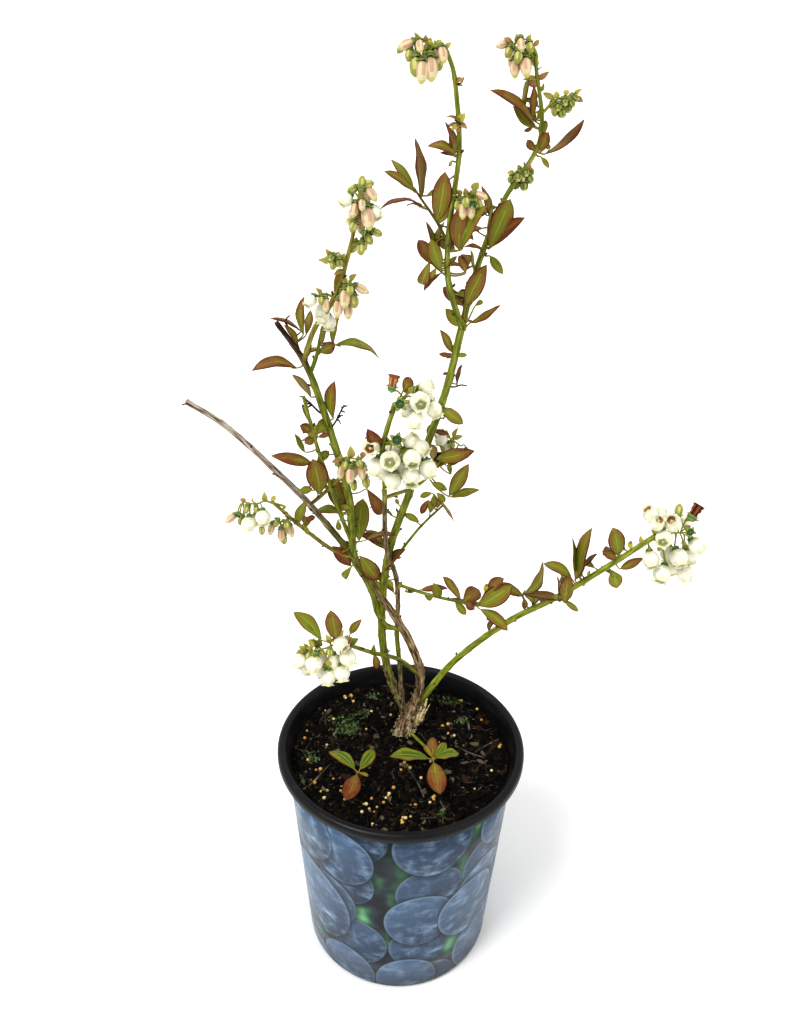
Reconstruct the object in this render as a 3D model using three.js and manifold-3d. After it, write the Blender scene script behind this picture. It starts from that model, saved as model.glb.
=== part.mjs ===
// A young highbush blueberry in spring blossom, in a printed nursery pot.
//
// Millimetres, +Z up. The origin is the centre of the pot's flat underside, +X is to the right of
// the plant's face and +Y to its back. Canes rise from one woody crown in the potting mix. Each
// cane, twig and shoot is one tapering limb, and each spray of leaves or blossom is one uneven
// closed mass on the limb that carries it. Solids that touch keep a gap of GAP between them.
import * as THREE from "three";
import { mergeVertices } from "three/addons/utils/BufferGeometryUtils.js";
import Module from "manifold-3d";

const wasm = await Module();
wasm.setup();

// ---------------------------------------------------------------- driving dimensions

const GAP = 0.3;
const POT = { height: 170, foot: 64.2, shoulder: 75.5, wall: 1.6, floor: 2, chamfer: 1.5, sides: 32 };
const LIP = { radius: 82.5, roll: 3, skin: 1.5, skirt: 3, foot: 162.5, steps: 4 };
const DRAIN = { count: 5, radius: 4.5, ring: 45, sides: 8 };
const WRAP = { skin: 0.5, bottom: 3, top: 162 };
const SOIL = { top: 157, swell: 1.1, rings: [0.95, 0.66, 0.33] };
const CROWN = { foot: [1.5, 20, 155.5], top: [8, 28.5, 174], footRadius: 7.5, topRadius: 5.5, ridges: 4, ridge: 0.14 };
const LIMB = { step: 19, sidesThick: 7, sidesThin: 6, thinBelow: 1.2 };
const MASS = { detail: 1, lobes: 5, lobe: 1.0, sharpness: 3 };

// Each limb: what it springs from and how far along, the points it passes, and its radii.
// A foot with no parent is rooted in the crown.
const LIMBS = {
  woody_stem: {
    foot: [9, 29, 174],
    via: [[12.3, 30.5, 190], [11.5, 31, 208], [5.4, 30, 227], [-5, 26, 251]],
    tip: [-32, 13, 307],
    radii: [3.1, 2.1],
    bark: "old_bark",
  },
  tall_cane: {
    foot: [2, 28, 171],
    via: [[-9, 31, 201], [-14, 28, 240], [-10, 15, 306], [3, 3, 359], [20, -11, 425]],
    tip: [26, -16, 459],
    radii: [2.8, 1.9],
    bark: "green_bark",
  },
  middle_cane: {
    foot: [1, 26, 167],
    via: [
      [-1.5, 30, 207], [-4, 28, 237], [-3.6, 23, 266], [-5.3, 16.5, 290],
      [-10.8, 8, 314], [-12, -4, 341], [-12, -17, 370], [-13, -32, 399],
    ],
    tip: [-7, -46, 429],
    radii: [1.6, 1.25],
    bark: "tan_bark",
  },
  right_cane: {
    foot: [11, 30, 174],
    via: [[34, 34, 208], [69, 21, 254], [93, 6, 282], [118, -13, 318]],
    tip: [138, -28, 348],
    radii: [2.4, 1.5],
    bark: "green_bark",
  },
  dead_twig: {
    parent: "woody_stem",
    share: 1,
    via: [[-58, 5, 348], [-72, -1, 368], [-98, -12, 402]],
    tip: [-116, -18, 418],
    radii: [2.0, 1.4],
    bark: "dead_wood",
  },
  left_cane: {
    parent: "woody_stem",
    share: 0.48,
    via: [
      [-10.7, 25.5, 245], [-16.5, 24, 256], [-19.5, 22, 272], [-25, 19, 288], [-30.5, 15, 301],
      [-32, 8, 330], [-33, 2, 353], [-46, -10, 414], [-54, -15, 440],
    ],
    tip: [-68, -10, 459],
    radii: [2.2, 1.5],
    bark: "green_bark",
  },
  left_thin_shoot: {
    parent: "left_cane",
    share: 0.36,
    via: [[-38, 5, 339], [-50, -11, 394]],
    tip: [-54.5, -18.5, 422],
    radii: [1.3, 0.9],
    bark: "green_bark",
  },
  left_flowering_tip: {
    parent: "left_cane",
    share: 0.9,
    via: [[-48, -21, 458], [-36, -29, 478], [-28, -36, 504]],
    tip: [-22, -41, 531],
    radii: [1.4, 0.8],
    bark: "tan_bark",
  },
  left_side_twig: {
    parent: "left_cane",
    share: 0.87,
    via: [[-48, -10, 441]],
    tip: [-45, -4, 455],
    radii: [1.1, 0.8],
    bark: "green_bark",
  },
  bud_twig: {
    parent: "dead_twig",
    share: 0.32,
    via: [[-48, 2, 354]],
    tip: [-32, -6, 375],
    radii: [1.2, 0.9],
    bark: "tan_bark",
  },
  left_flower_twig: {
    parent: "woody_stem",
    share: 0.98,
    via: [[-39.5, 12, 308], [-46.4, 9, 314.5], [-54.7, 4, 325], [-62.8, -4, 338]],
    tip: [-75, -15, 358],
    radii: [1.3, 0.9],
    bark: "tan_bark",
  },
  low_flower_twig: {
    parent: "woody_stem",
    share: 0.18,
    via: [[-2, 23, 219], [-20, 6, 238]],
    tip: [-41, -18, 265],
    radii: [1.6, 1.1],
    bark: "green_bark",
  },
  tall_cane_left_fork: {
    parent: "tall_cane",
    share: 1,
    via: [[18, -24, 485], [17, -28, 507], [20, -33, 545], [18, -33.5, 565]],
    tip: [13, -36, 583],
    radii: [1.6, 0.9],
    bark: "green_bark",
  },
  tall_cane_right_fork: {
    parent: "tall_cane",
    share: 0.99,
    via: [[33, -6, 487], [45, 3, 518], [61, 10, 545]],
    tip: [55, 6, 581],
    radii: [1.7, 0.8],
    bark: "green_bark",
  },
  middle_side_twig: {
    parent: "middle_cane",
    share: 0.72,
    via: [[8, -9, 368]],
    tip: [22, 2, 380],
    radii: [1.1, 0.7],
    bark: "tan_bark",
  },
  thin_green_twig: {
    parent: "middle_cane",
    share: 0.49,
    via: [[9, 20, 323]],
    tip: [23, 22, 338],
    radii: [1.0, 0.6],
    bark: "green_bark",
  },
  right_thin_shoot: {
    parent: "middle_cane",
    share: 0.42,
    via: [[14, 13, 279]],
    tip: [44, -6, 284],
    radii: [1.1, 0.8],
    bark: "green_bark",
  },
  right_sucker: {
    foot: [5, 20, 160],
    via: [[13, 9, 160]],
    tip: [22, -5, 162],
    radii: [1.2, 0.9],
    bark: "tan_bark",
  },
};

// Each mass: [limb, share along it, [wide, deep, tall], heart's shift [right, away, up], colour, seed].
const MASSES = {
  left_fork_blossom: ["tall_cane_left_fork", 1, [22, 16, 20], [-9, 0, -3], "blossom", 1],
  left_fork_upper_leaves: ["tall_cane_left_fork", 0.74, [20, 16, 22], [-4, 0, 0], "leaf", 2],
  left_fork_side_leaves: ["tall_cane_left_fork", 0.54, [37, 18, 40], [-17, 2, 6], "leaf", 3],
  left_fork_low_leaves: ["tall_cane_left_fork", 0.31, [22, 18, 32], [-6, 0, 0], "bronze_leaf", 4],
  fork_blossom: ["tall_cane_left_fork", 0.4, [24, 22, 34], [10, 8, 0], "blossom", 5],
  fork_leaves: ["tall_cane", 1, [28, 22, 38], [3, -2, 19], "leaf", 6],
  right_fork_low_leaves: ["tall_cane_right_fork", 0.34, [30, 20, 38], [7, -3, 4], "leaf", 7],
  right_fork_middle_leaves: ["tall_cane_right_fork", 0.72, [32, 20, 36], [8, 0, 7], "leaf", 8],
  right_fork_upper_leaves: ["tall_cane_right_fork", 0.84, [28, 18, 24], [-12, -3, -1], "bronze_leaf", 9],
  right_fork_blossom: ["tall_cane_right_fork", 1, [24, 16, 22], [-7, 0, -2], "blossom", 10],
  middle_upper_blossom: ["middle_cane", 1, [28, 20, 28], [8, 0, 4], "blossom", 11],
  middle_blossom: ["middle_cane", 0.86, [36, 24, 32], [8, -5, -1], "blossom", 12],
  bud_twig_buds: ["bud_twig", 1, [23, 18, 26], [2, 0, -2], "pink_bud", 13],
  middle_side_leaves: ["middle_side_twig", 1, [32, 22, 46], [3, 1, -4], "leaf", 14],
  thin_twig_leaves: ["thin_green_twig", 1, [29, 18, 30], [-6, 0, 0], "leaf", 15],
  thin_shoot_leaves: ["left_thin_shoot", 0.75, [34, 22, 50], [-7, -4, -3], "bronze_leaf", 16],
  flowering_tip_foot_leaves: ["left_flowering_tip", 0.12, [26, 20, 28], [-8, -3, 11], "leaf", 17],
  left_cane_low_leaves: ["left_cane", 0.5, [34, 22, 38], [-15, 0, 4], "leaf", 18],
  left_cane_bright_leaves: ["left_cane", 0.47, [28, 18, 34], [12, 4, -1], "leaf", 19],
  woody_stem_leaves: ["woody_stem", 0.9, [40, 22, 34], [4, 2, -2], "leaf", 20],
  left_cane_upright_leaf: ["left_cane", 0.79, [16, 14, 30], [7, 0, 0], "leaf", 21],
  stub_leaves: ["left_cane", 0.87, [36, 20, 28], [-15, 1, 1], "bronze_leaf", 22],
  left_side_twig_leaves: ["left_side_twig", 0.9, [38, 20, 26], [13, 0, -3], "leaf", 23],
  flowering_tip_blossom: ["left_flowering_tip", 1, [21, 18, 38], [0, 0, -13], "blossom", 24],
  flowering_tip_side_blossom: ["left_flowering_tip", 0.42, [26, 20, 48], [3, -2, 0], "blossom", 25],
  left_twig_blossom: ["left_flower_twig", 1, [30, 20, 30], [-11, 0, -10], "blossom", 26],
  left_twig_side_blossom: ["left_flower_twig", 0.62, [26, 18, 28], [-5, -5, -1], "pink_bud", 27],
  low_twig_leaves: ["low_flower_twig", 1, [44, 22, 26], [-4, 7, 9], "leaf", 28],
  low_twig_blossom: ["low_flower_twig", 1, [38, 24, 34], [-3, 0, -20], "blossom", 29],
  right_shoot_middle_leaves: ["right_thin_shoot", 0.72, [30, 20, 28], [2, -2, 7], "bronze_leaf", 30],
  right_shoot_tip_leaves: ["right_thin_shoot", 1, [26, 20, 36], [12, -2, 1], "leaf", 31],
  right_cane_low_leaves: ["right_cane", 0.53, [48, 22, 32], [3, 2, 14], "bronze_leaf", 32],
  right_cane_middle_leaves: ["right_cane", 0.72, [34, 22, 50], [1, 5, 8], "leaf", 33],
  right_cane_upper_leaves: ["right_cane", 0.86, [28, 20, 40], [6, 0, 5], "leaf", 34],
  right_cane_blossom: ["right_cane", 1, [36, 26, 50], [11, 0, -5], "blossom", 35],
  left_sucker_leaves: ["soil", 0, [34, 36, 12], [-31, -22, 162], "leaf", 36],
  right_sucker_leaves: ["right_sucker", 1, [46, 44, 13], [-2, -8, 2], "leaf", 37],
};

// ---------------------------------------------------------------- colours

function finish(color, roughness) {
  return new THREE.MeshStandardMaterial({ color, roughness, metalness: 0 });
}

const FINISHES = {
  pot_plastic: finish(0x2b2c2e, 0.5),
  print: finish(0x7f93ab, 0.35),
  soil: finish(0x221a14, 1),
  old_bark: finish(0x7b6a55, 0.9),
  dead_wood: finish(0x8d8980, 0.9),
  tan_bark: finish(0x8f7a4a, 0.7),
  green_bark: finish(0x77893f, 0.6),
  leaf: finish(0x6f8a3c, 0.5),
  bronze_leaf: finish(0x85603f, 0.5),
  blossom: finish(0xf1ece6, 0.5),
  pink_bud: finish(0xd98a92, 0.5),
};

// ---------------------------------------------------------------- solids and booleans

// A closed geometry as a solid, with shared vertices merged and collapsed triangles dropped.
function solidOf(geometry) {
  const bare = geometry.clone();
  bare.deleteAttribute("normal");
  bare.deleteAttribute("uv");
  const merged = mergeVertices(bare, 1e-4);
  const corners = merged.index.array;
  const triVerts = [];
  for (let i = 0; i < corners.length; i += 3) {
    const [a, b, c] = corners.slice(i, i + 3);
    if (a !== b && b !== c && c !== a) triVerts.push(a, b, c);
  }
  const vertProperties = merged.attributes.position.array;
  return new wasm.Manifold(
    new wasm.Mesh({ numProp: 3, vertProperties, triVerts: new Uint32Array(triVerts) }),
  );
}

function geometryOf(solid) {
  const { vertProperties, triVerts } = solid.getMesh();
  const geometry = new THREE.BufferGeometry();
  geometry.setAttribute("position", new THREE.BufferAttribute(vertProperties, 3));
  geometry.setIndex(new THREE.BufferAttribute(triVerts, 1));
  geometry.computeVertexNormals();
  return geometry;
}

// What is left of a solid after its neighbours' room is cut away: its largest body.
function trimmed(solid, neighbours) {
  const left = neighbours.reduce((rest, neighbour) => rest.subtract(neighbour), solid);
  return left.decompose().sort((a, b) => b.volume() - a.volume())[0];
}

const plant = new THREE.Group();

function addNode(name, finishName, solid) {
  const mesh = new THREE.Mesh(geometryOf(solid), FINISHES[finishName]);
  mesh.name = name;
  plant.add(mesh);
}

// A profile of [radius, height] points turned about the upright axis.
function turned(profile) {
  const points = profile.map(([r, z]) => new THREE.Vector2(r, z));
  return new THREE.LatheGeometry(points, POT.sides).rotateX(Math.PI / 2);
}

// A seeded random number source, so that every mass keeps its shape.
function seededRandom(seed) {
  let state = seed * 2654435761;
  return () => {
    state = (Math.imul(state ^ (state >>> 15), 2246822519) + 3266489917) | 0;
    return ((state >>> 8) & 0xffff) / 0xffff;
  };
}

// ---------------------------------------------------------------- pot, printed wrap and potting mix

// The wall's outer radius at a height: a straight taper from the foot to under the lip.
function wallRadius(z) {
  return THREE.MathUtils.mapLinear(z, 0, LIP.foot, POT.foot, POT.shoulder);
}

// Points of a circle's arc round the middle of the lip's roll, from one angle to another.
function rollArc(radius, fromDegrees, toDegrees) {
  const middle = [LIP.radius - LIP.roll, POT.height - LIP.roll];
  return Array.from({ length: LIP.steps }, (_, i) => {
    const angle = THREE.MathUtils.degToRad(
      THREE.MathUtils.lerp(fromDegrees, toDegrees, i / (LIP.steps - 1)),
    );
    return [middle[0] + radius * Math.cos(angle), middle[1] + radius * Math.sin(angle)];
  });
}

// An open, tapered pot with a flat underside, drain holes and a lip rolled outwards over a skirt.
function potSolid() {
  const skirtFoot = POT.height - LIP.roll - LIP.skirt;
  const shell = turned([
    [0, 0],
    [POT.foot - POT.chamfer, 0],
    [POT.foot, POT.chamfer],
    [POT.shoulder, LIP.foot],
    ...rollArc(LIP.roll - LIP.skin, 155, 0),
    [LIP.radius - LIP.skin, skirtFoot],
    [LIP.radius, skirtFoot],
    ...rollArc(LIP.roll, 0, 160),
    [wallRadius(LIP.foot) - POT.wall, LIP.foot],
    [wallRadius(POT.floor) - POT.wall, POT.floor],
    [0, POT.floor],
  ]);
  const drains = Array.from({ length: DRAIN.count }, (_, i) => {
    const angle = (2 * Math.PI * (i + 0.5)) / DRAIN.count;
    const hole = new THREE.CylinderGeometry(DRAIN.radius, DRAIN.radius, 4 * POT.floor, DRAIN.sides);
    hole.rotateX(Math.PI / 2);
    return solidOf(
      hole.translate(DRAIN.ring * Math.cos(angle), DRAIN.ring * Math.sin(angle), POT.floor / 2),
    );
  });
  return trimmed(solidOf(shell), drains);
}

// A thin printed sleeve that hugs the wall from just above the foot to under the lip.
function wrapSolid() {
  const inner = (z) => wallRadius(z) + GAP;
  return solidOf(
    turned([
      [inner(WRAP.bottom), WRAP.bottom],
      [inner(WRAP.bottom) + WRAP.skin, WRAP.bottom],
      [inner(WRAP.top) + WRAP.skin, WRAP.top],
      [inner(WRAP.top), WRAP.top],
      [inner(WRAP.bottom), WRAP.bottom],
    ]),
  );
}

// The potting mix fills the pot to SOIL.top, and its surface rolls gently.
function soilSolid(neighbours) {
  const inner = (z) => wallRadius(z) - POT.wall - GAP;
  const bottom = POT.floor + GAP;
  const geometry = turned([
    [0, bottom],
    [inner(bottom), bottom],
    [inner(SOIL.top), SOIL.top],
    ...SOIL.rings.map((share) => [share * inner(SOIL.top), SOIL.top]),
    [0, SOIL.top],
  ]);
  const position = geometry.attributes.position;
  for (let i = 0; i < position.count; i++) {
    const [x, y, z] = [position.getX(i), position.getY(i), position.getZ(i)];
    const swell = Math.sin(x / 17 + 1) * Math.cos(y / 13) + 0.6 * Math.sin((x - y) / 9);
    if (z > SOIL.top - GAP) position.setZ(i, SOIL.top + SOIL.swell * swell);
  }
  return trimmed(solidOf(geometry), neighbours);
}

// ---------------------------------------------------------------- crown and limbs

// The swollen woody crown: a squat, leaning taper with rounded ridges where the canes part.
function crownSolid(neighbours, grow = 0) {
  const [foot, top] = [new THREE.Vector3(...CROWN.foot), new THREE.Vector3(...CROWN.top)];
  const height = top.z - foot.z + 2 * grow;
  const geometry = new THREE.CylinderGeometry(CROWN.topRadius, CROWN.footRadius, height, 12, 2);
  geometry.rotateX(Math.PI / 2);
  const position = geometry.attributes.position;
  for (let i = 0; i < position.count; i++) {
    const [x, y, z] = [position.getX(i), position.getY(i), position.getZ(i)];
    const radius = Math.hypot(x, y);
    const ridge = 1 + CROWN.ridge * Math.sin(CROWN.ridges * Math.atan2(y, x) + z / 6);
    const scale = radius > 0 ? ridge + grow / radius : 0;
    const middle = foot.clone().lerp(top, z / height + 0.5);
    position.setXYZ(i, middle.x + x * scale, middle.y + y * scale, (foot.z + top.z) / 2 + z);
  }
  return trimmed(solidOf(geometry), neighbours);
}

const curves = new Map();

// A limb's centre line, from its foot, or its place on its parent, to its tip.
function curveOf(name) {
  if (!curves.has(name)) {
    const { parent, share, foot, via, tip } = LIMBS[name];
    const start = parent ? curveOf(parent).getPointAt(share) : new THREE.Vector3(...foot);
    const rest = [...via, tip].map((point) => new THREE.Vector3(...point));
    curves.set(name, new THREE.CatmullRomCurve3([start, ...rest]));
  }
  return curves.get(name);
}

// A limb: a closed cylinder bent along its centre line and tapered from foot to tip.
function limbSolid(name, neighbours, grow = 0) {
  const curve = curveOf(name);
  const [footRadius, tipRadius] = LIMBS[name].radii;
  const steps = Math.max(3, Math.round(curve.getLength() / LIMB.step));
  const sides = footRadius < LIMB.thinBelow ? LIMB.sidesThin : LIMB.sidesThick;
  const frames = curve.computeFrenetFrames(steps, false);
  const geometry = new THREE.CylinderGeometry(1, 1, 1, sides, steps);
  const position = geometry.attributes.position;
  for (let i = 0; i < position.count; i++) {
    const share = position.getY(i) + 0.5;
    const step = Math.round(share * steps);
    const radius = THREE.MathUtils.lerp(footRadius, tipRadius, share) + grow;
    const overrun = step === 0 ? -grow : step === steps ? grow : 0;
    const point = curve
      .getPointAt(step / steps)
      .addScaledVector(frames.binormals[step], radius * position.getX(i))
      .addScaledVector(frames.normals[step], radius * position.getZ(i))
      .addScaledVector(frames.tangents[step], overrun);
    position.setXYZ(i, point.x, point.y, point.z);
  }
  return trimmed(solidOf(geometry), neighbours);
}

// ---------------------------------------------------------------- masses of leaves and blossom

// A ball pulled out into a few seeded lobes.
function lobedBall(seed) {
  const random = seededRandom(seed);
  const lobes = Array.from({ length: MASS.lobes }, () =>
    new THREE.Vector3(random() - 0.5, random() - 0.5, random() - 0.5).normalize(),
  );
  const geometry = new THREE.IcosahedronGeometry(1, MASS.detail);
  const position = geometry.attributes.position;
  for (let i = 0; i < position.count; i++) {
    const ray = new THREE.Vector3().fromBufferAttribute(position, i).normalize();
    const pull = Math.max(...lobes.map((lobe) => Math.max(0, ray.dot(lobe)) ** MASS.sharpness));
    ray.multiplyScalar(1 + MASS.lobe * pull);
    position.setXYZ(i, ray.x, ray.y, ray.z);
  }
  return geometry;
}

// A mass: a lobed ball stretched to its three sizes, and placed by its limb.
function massSolid(name, neighbours, grow = 0) {
  const [limb, share, size, shift, , seed] = MASSES[name];
  const heart = new THREE.Vector3(...shift);
  if (limb in LIMBS) heart.add(curveOf(limb).getPointAt(share));
  const ball = lobedBall(seed).center();
  ball.computeBoundingBox();
  const ballSize = ball.boundingBox.getSize(new THREE.Vector3());
  const full = new THREE.Vector3(...size).addScalar(2 * grow);
  ball.scale(...full.divide(ballSize).toArray());
  ball.translate(...heart.toArray());
  return trimmed(solidOf(ball), neighbours);
}

// ---------------------------------------------------------------- assembly

// A limb is cut by the room of the limbs before it, and a mass by every limb and earlier mass.
const limbRoom = [];
for (const [name, { bark }] of Object.entries(LIMBS)) {
  addNode(name, bark, limbSolid(name, limbRoom));
  limbRoom.push(limbSolid(name, [], GAP));
}

addNode("crown", "old_bark", crownSolid(limbRoom));
const crownRoom = crownSolid([], GAP);

const massRoom = [];
for (const [name, [, , , , colour]] of Object.entries(MASSES)) {
  addNode(name, colour, massSolid(name, [...limbRoom, crownRoom, ...massRoom]));
  massRoom.push(massSolid(name, [], GAP));
}

addNode("pot", "pot_plastic", potSolid());
addNode("printed_wrap", "print", wrapSolid());
addNode("soil", "soil", soilSolid([crownRoom, ...limbRoom, ...massRoom]));

export default plant;
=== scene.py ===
"""A young blueberry bush in spring blossom, in a printed nursery pot.

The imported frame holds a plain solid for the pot, for every limb and for every mass of leaves or
flowers. In their places this script makes the turned pot and its printed film, the potting mix,
the barked limbs, and the single leaves and flowers that grow on them. Metres, +Z up, with the
plant's face towards -Y.
"""
import math
import random

import bmesh
import bpy
from mathutils import Matrix, Vector, noise


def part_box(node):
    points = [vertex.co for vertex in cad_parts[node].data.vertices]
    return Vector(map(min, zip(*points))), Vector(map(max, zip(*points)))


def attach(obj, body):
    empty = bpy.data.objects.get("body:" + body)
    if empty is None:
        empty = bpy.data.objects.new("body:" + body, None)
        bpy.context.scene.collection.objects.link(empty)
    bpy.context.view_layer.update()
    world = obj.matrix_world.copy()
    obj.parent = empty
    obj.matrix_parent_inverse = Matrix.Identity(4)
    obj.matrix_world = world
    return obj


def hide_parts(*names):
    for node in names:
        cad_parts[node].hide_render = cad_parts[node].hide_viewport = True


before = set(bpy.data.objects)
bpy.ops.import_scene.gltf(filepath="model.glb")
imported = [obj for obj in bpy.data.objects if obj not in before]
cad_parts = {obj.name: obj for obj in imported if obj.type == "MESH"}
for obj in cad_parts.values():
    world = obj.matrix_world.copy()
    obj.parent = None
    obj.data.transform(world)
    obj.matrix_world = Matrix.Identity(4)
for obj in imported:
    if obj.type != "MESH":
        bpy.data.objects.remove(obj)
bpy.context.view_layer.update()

# ---------------------------------------------------------------- the view
# The plant stands on a pale floor under a soft white sky, and is seen from a little above its
# highest tips. A place in the picture is (x, y) in a frame of 800 by 1024 with y down.
MM = 0.001
PICTURE_WIDTH, PICTURE_HEIGHT = 800, 1024
FOCAL_LENGTH = 900  # in the picture's own units
CAMERA_PLACE = Vector((-0.0033, -0.4571, 0.5954))
CAMERA_PITCH = math.radians(28.77)
CAMERA_ROLL = math.radians(1.0)
SENSOR = 36
PICTURE_EXPOSURE, PICTURE_GAMMA = 0.22, 0.80
FLOOR_SIZE = 80
SKY_STRENGTH = 0.87
# Each lamp: where its light comes from, its strength, and its width in degrees.
LAMPS = (("key_lamp", (-0.75, -0.70, 1.5), 1.5, 22), ("side_lamp", (1.2, -0.6, 1.1), 0.3, 50))
ANY_TURN = (0, 6.28)  # radians

ahead = Vector((0, math.cos(CAMERA_PITCH), -math.sin(CAMERA_PITCH)))
level = Vector((1, 0, 0))
upright = Vector((0, math.sin(CAMERA_PITCH), math.cos(CAMERA_PITCH)))
right = level * math.cos(CAMERA_ROLL) + upright * math.sin(CAMERA_ROLL)
up = upright * math.cos(CAMERA_ROLL) - level * math.sin(CAMERA_ROLL)


def sight(x, y):
    """The way from the camera through (x, y) in the picture."""
    return ahead * FOCAL_LENGTH + right * (x - PICTURE_WIDTH / 2) - up * (y - PICTURE_HEIGHT / 2)


def at_depth(x, y, depth):
    """The point that shows at (x, y) in the picture and lies at this depth along +Y."""
    way = sight(x, y)
    return CAMERA_PLACE + way * ((depth - CAMERA_PLACE.y) / way.y)


def at_height(x, y, height):
    """The point that shows at (x, y) in the picture and lies at this height."""
    way = sight(x, y)
    return CAMERA_PLACE + way * ((height - CAMERA_PLACE.z) / way.z)


def in_picture(point):
    """Where a point shows in the picture."""
    way = point - CAMERA_PLACE
    near = FOCAL_LENGTH / way.dot(ahead)
    return Vector((PICTURE_WIDTH / 2 + near * way.dot(right),
                   PICTURE_HEIGHT / 2 - near * way.dot(up)))


camera = bpy.data.objects.new("view", bpy.data.cameras.new("view"))
camera.data.sensor_width = SENSOR
camera.data.lens = SENSOR * FOCAL_LENGTH / PICTURE_HEIGHT
camera.data.clip_start = 0.01
camera_turn = Matrix((right, up, -ahead)).transposed().to_4x4()
camera.matrix_world = Matrix.Translation(CAMERA_PLACE) @ camera_turn
bpy.context.scene.collection.objects.link(camera)
bpy.context.scene.camera = camera
bpy.context.scene.view_settings.view_transform = "Standard"
bpy.context.scene.view_settings.exposure = PICTURE_EXPOSURE
bpy.context.scene.view_settings.gamma = PICTURE_GAMMA

sky = bpy.data.worlds.new("soft_sky")
bpy.context.scene.world = sky
sky.use_nodes = True
sky.node_tree.nodes["Background"].inputs["Color"].default_value = (1.0, 1.0, 1.0, 1)
sky.node_tree.nodes["Background"].inputs["Strength"].default_value = SKY_STRENGTH
for lamp_name, lamp_place, strength, width in LAMPS:
    light = bpy.data.lights.new(lamp_name, "SUN")
    light.energy = strength
    light.angle = math.radians(width)
    lamp = bpy.data.objects.new(lamp_name, light)
    lamp.location = lamp_place
    lamp.rotation_euler = Vector(lamp_place).to_track_quat("Z", "Y").to_euler()
    bpy.context.scene.collection.objects.link(lamp)


def as_piece(name, mesh, materials, smooth=True):
    """A mesh as an object of this name, with its materials in order."""
    for material in materials:
        mesh.materials.append(material)
    mesh.polygons.foreach_set("use_smooth", [smooth] * len(mesh.polygons))
    piece = bpy.data.objects.new(name, mesh)
    bpy.context.scene.collection.objects.link(piece)
    return piece


def shown(name, shape, materials, smooth=True):
    """A finished bmesh as an object of this name."""
    mesh = bpy.data.meshes.new(name)
    shape.to_mesh(mesh)
    shape.free()
    return as_piece(name, mesh, materials, smooth)


def node(material, kind, inputs=(), **settings):
    """A new shader node, with sockets linked or set by the pairs in inputs."""
    made = material.node_tree.nodes.new("ShaderNode" + kind)
    for key, value in settings.items():
        setattr(made, key, value)
    for key, value in dict(inputs).items():
        if isinstance(value, bpy.types.NodeSocket):
            material.node_tree.links.new(value, made.inputs[key])
        else:
            made.inputs[key].default_value = value
    return made


def shade_between(material, share, first, second):
    """The colour output of a mix of two colours or colour sockets."""
    blend = node(material, "Mix", {0: share, 6: first, 7: second}, data_type="RGBA")
    return blend.outputs[2]


def ramp(material, value, stops):
    """The colour output of a ramp through (place, colour) stops."""
    made = node(material, "ValToRGB", {"Fac": value})
    while len(made.color_ramp.elements) < len(stops):
        made.color_ramp.elements.new(1)
    for element, (place, colour) in zip(made.color_ramp.elements, stops):
        element.position = place
        element.color = (*colour, 1)
    return made.outputs["Color"]


def new_material(name, colour, roughness, specular=0.5):
    """A Principled material with its plain values set on the shader's own sockets."""
    material = bpy.data.materials.new(name)
    material.use_nodes = True
    shader = material.node_tree.nodes["Principled BSDF"]
    shader.inputs["Base Color"].default_value = (*colour, 1)
    shader.inputs["Roughness"].default_value = roughness
    shader.inputs["Specular IOR Level"].default_value = specular
    return material


def wear(material, colour=None, roughness=None, height=None, lift=0.0002, strength=0.5):
    """Links a colour, a roughness or a bump height output to the material's shader."""
    shader = material.node_tree.nodes["Principled BSDF"]
    link = material.node_tree.links.new
    if colour:
        link(colour, shader.inputs["Base Color"])
    if roughness:
        link(roughness, shader.inputs["Roughness"])
    if height:
        bump = node(material, "Bump", {"Height": height, "Distance": lift, "Strength": strength})
        link(bump.outputs["Normal"], shader.inputs["Normal"])


def grain_noise(material, scale, stretch=(1, 1, 1), detail=3, attribute=None):
    """A noise value over the object's own coordinates, or over a named attribute."""
    if attribute:
        place = node(material, "Attribute", attribute_name=attribute).outputs["Vector"]
    else:
        place = node(material, "TexCoord").outputs["Object"]
    mapped = node(material, "Mapping", {"Vector": place, "Scale": stretch})
    inputs = {"Vector": mapped.outputs[0], "Scale": scale, "Detail": detail}
    return node(material, "TexNoise", inputs).outputs["Fac"]


def ranged(material, value, low, high, start=0.3, end=0.7):
    """A noise value spread over a chosen range."""
    inputs = {"Value": value, "From Min": start, "From Max": end, "To Min": low, "To Max": high}
    return node(material, "MapRange", inputs).outputs[0]


def grainy(name, colour, roughness, grain, rough_range, specular=0.5, relief=None, lift=0.0001,
           strength=0.3):
    """A material whose roughness changes in grains, and with a relief that has its own noise."""
    material = new_material(name, colour, roughness, specular)
    rough = ranged(material, grain_noise(material, grain), *rough_range)
    height = grain_noise(material, *relief) if relief else None
    wear(material, roughness=rough, height=height, lift=lift, strength=strength)
    return material


floor_shape = bmesh.new()
bmesh.ops.create_grid(floor_shape, x_segments=1, y_segments=1, size=FLOOR_SIZE / 2)
floor_paint = grainy("floor_paint", (0.93, 0.93, 0.92), 0.75, 3, (0.7, 0.8), specular=0.2)
floor = shown("floor", floor_shape, [floor_paint])

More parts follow.
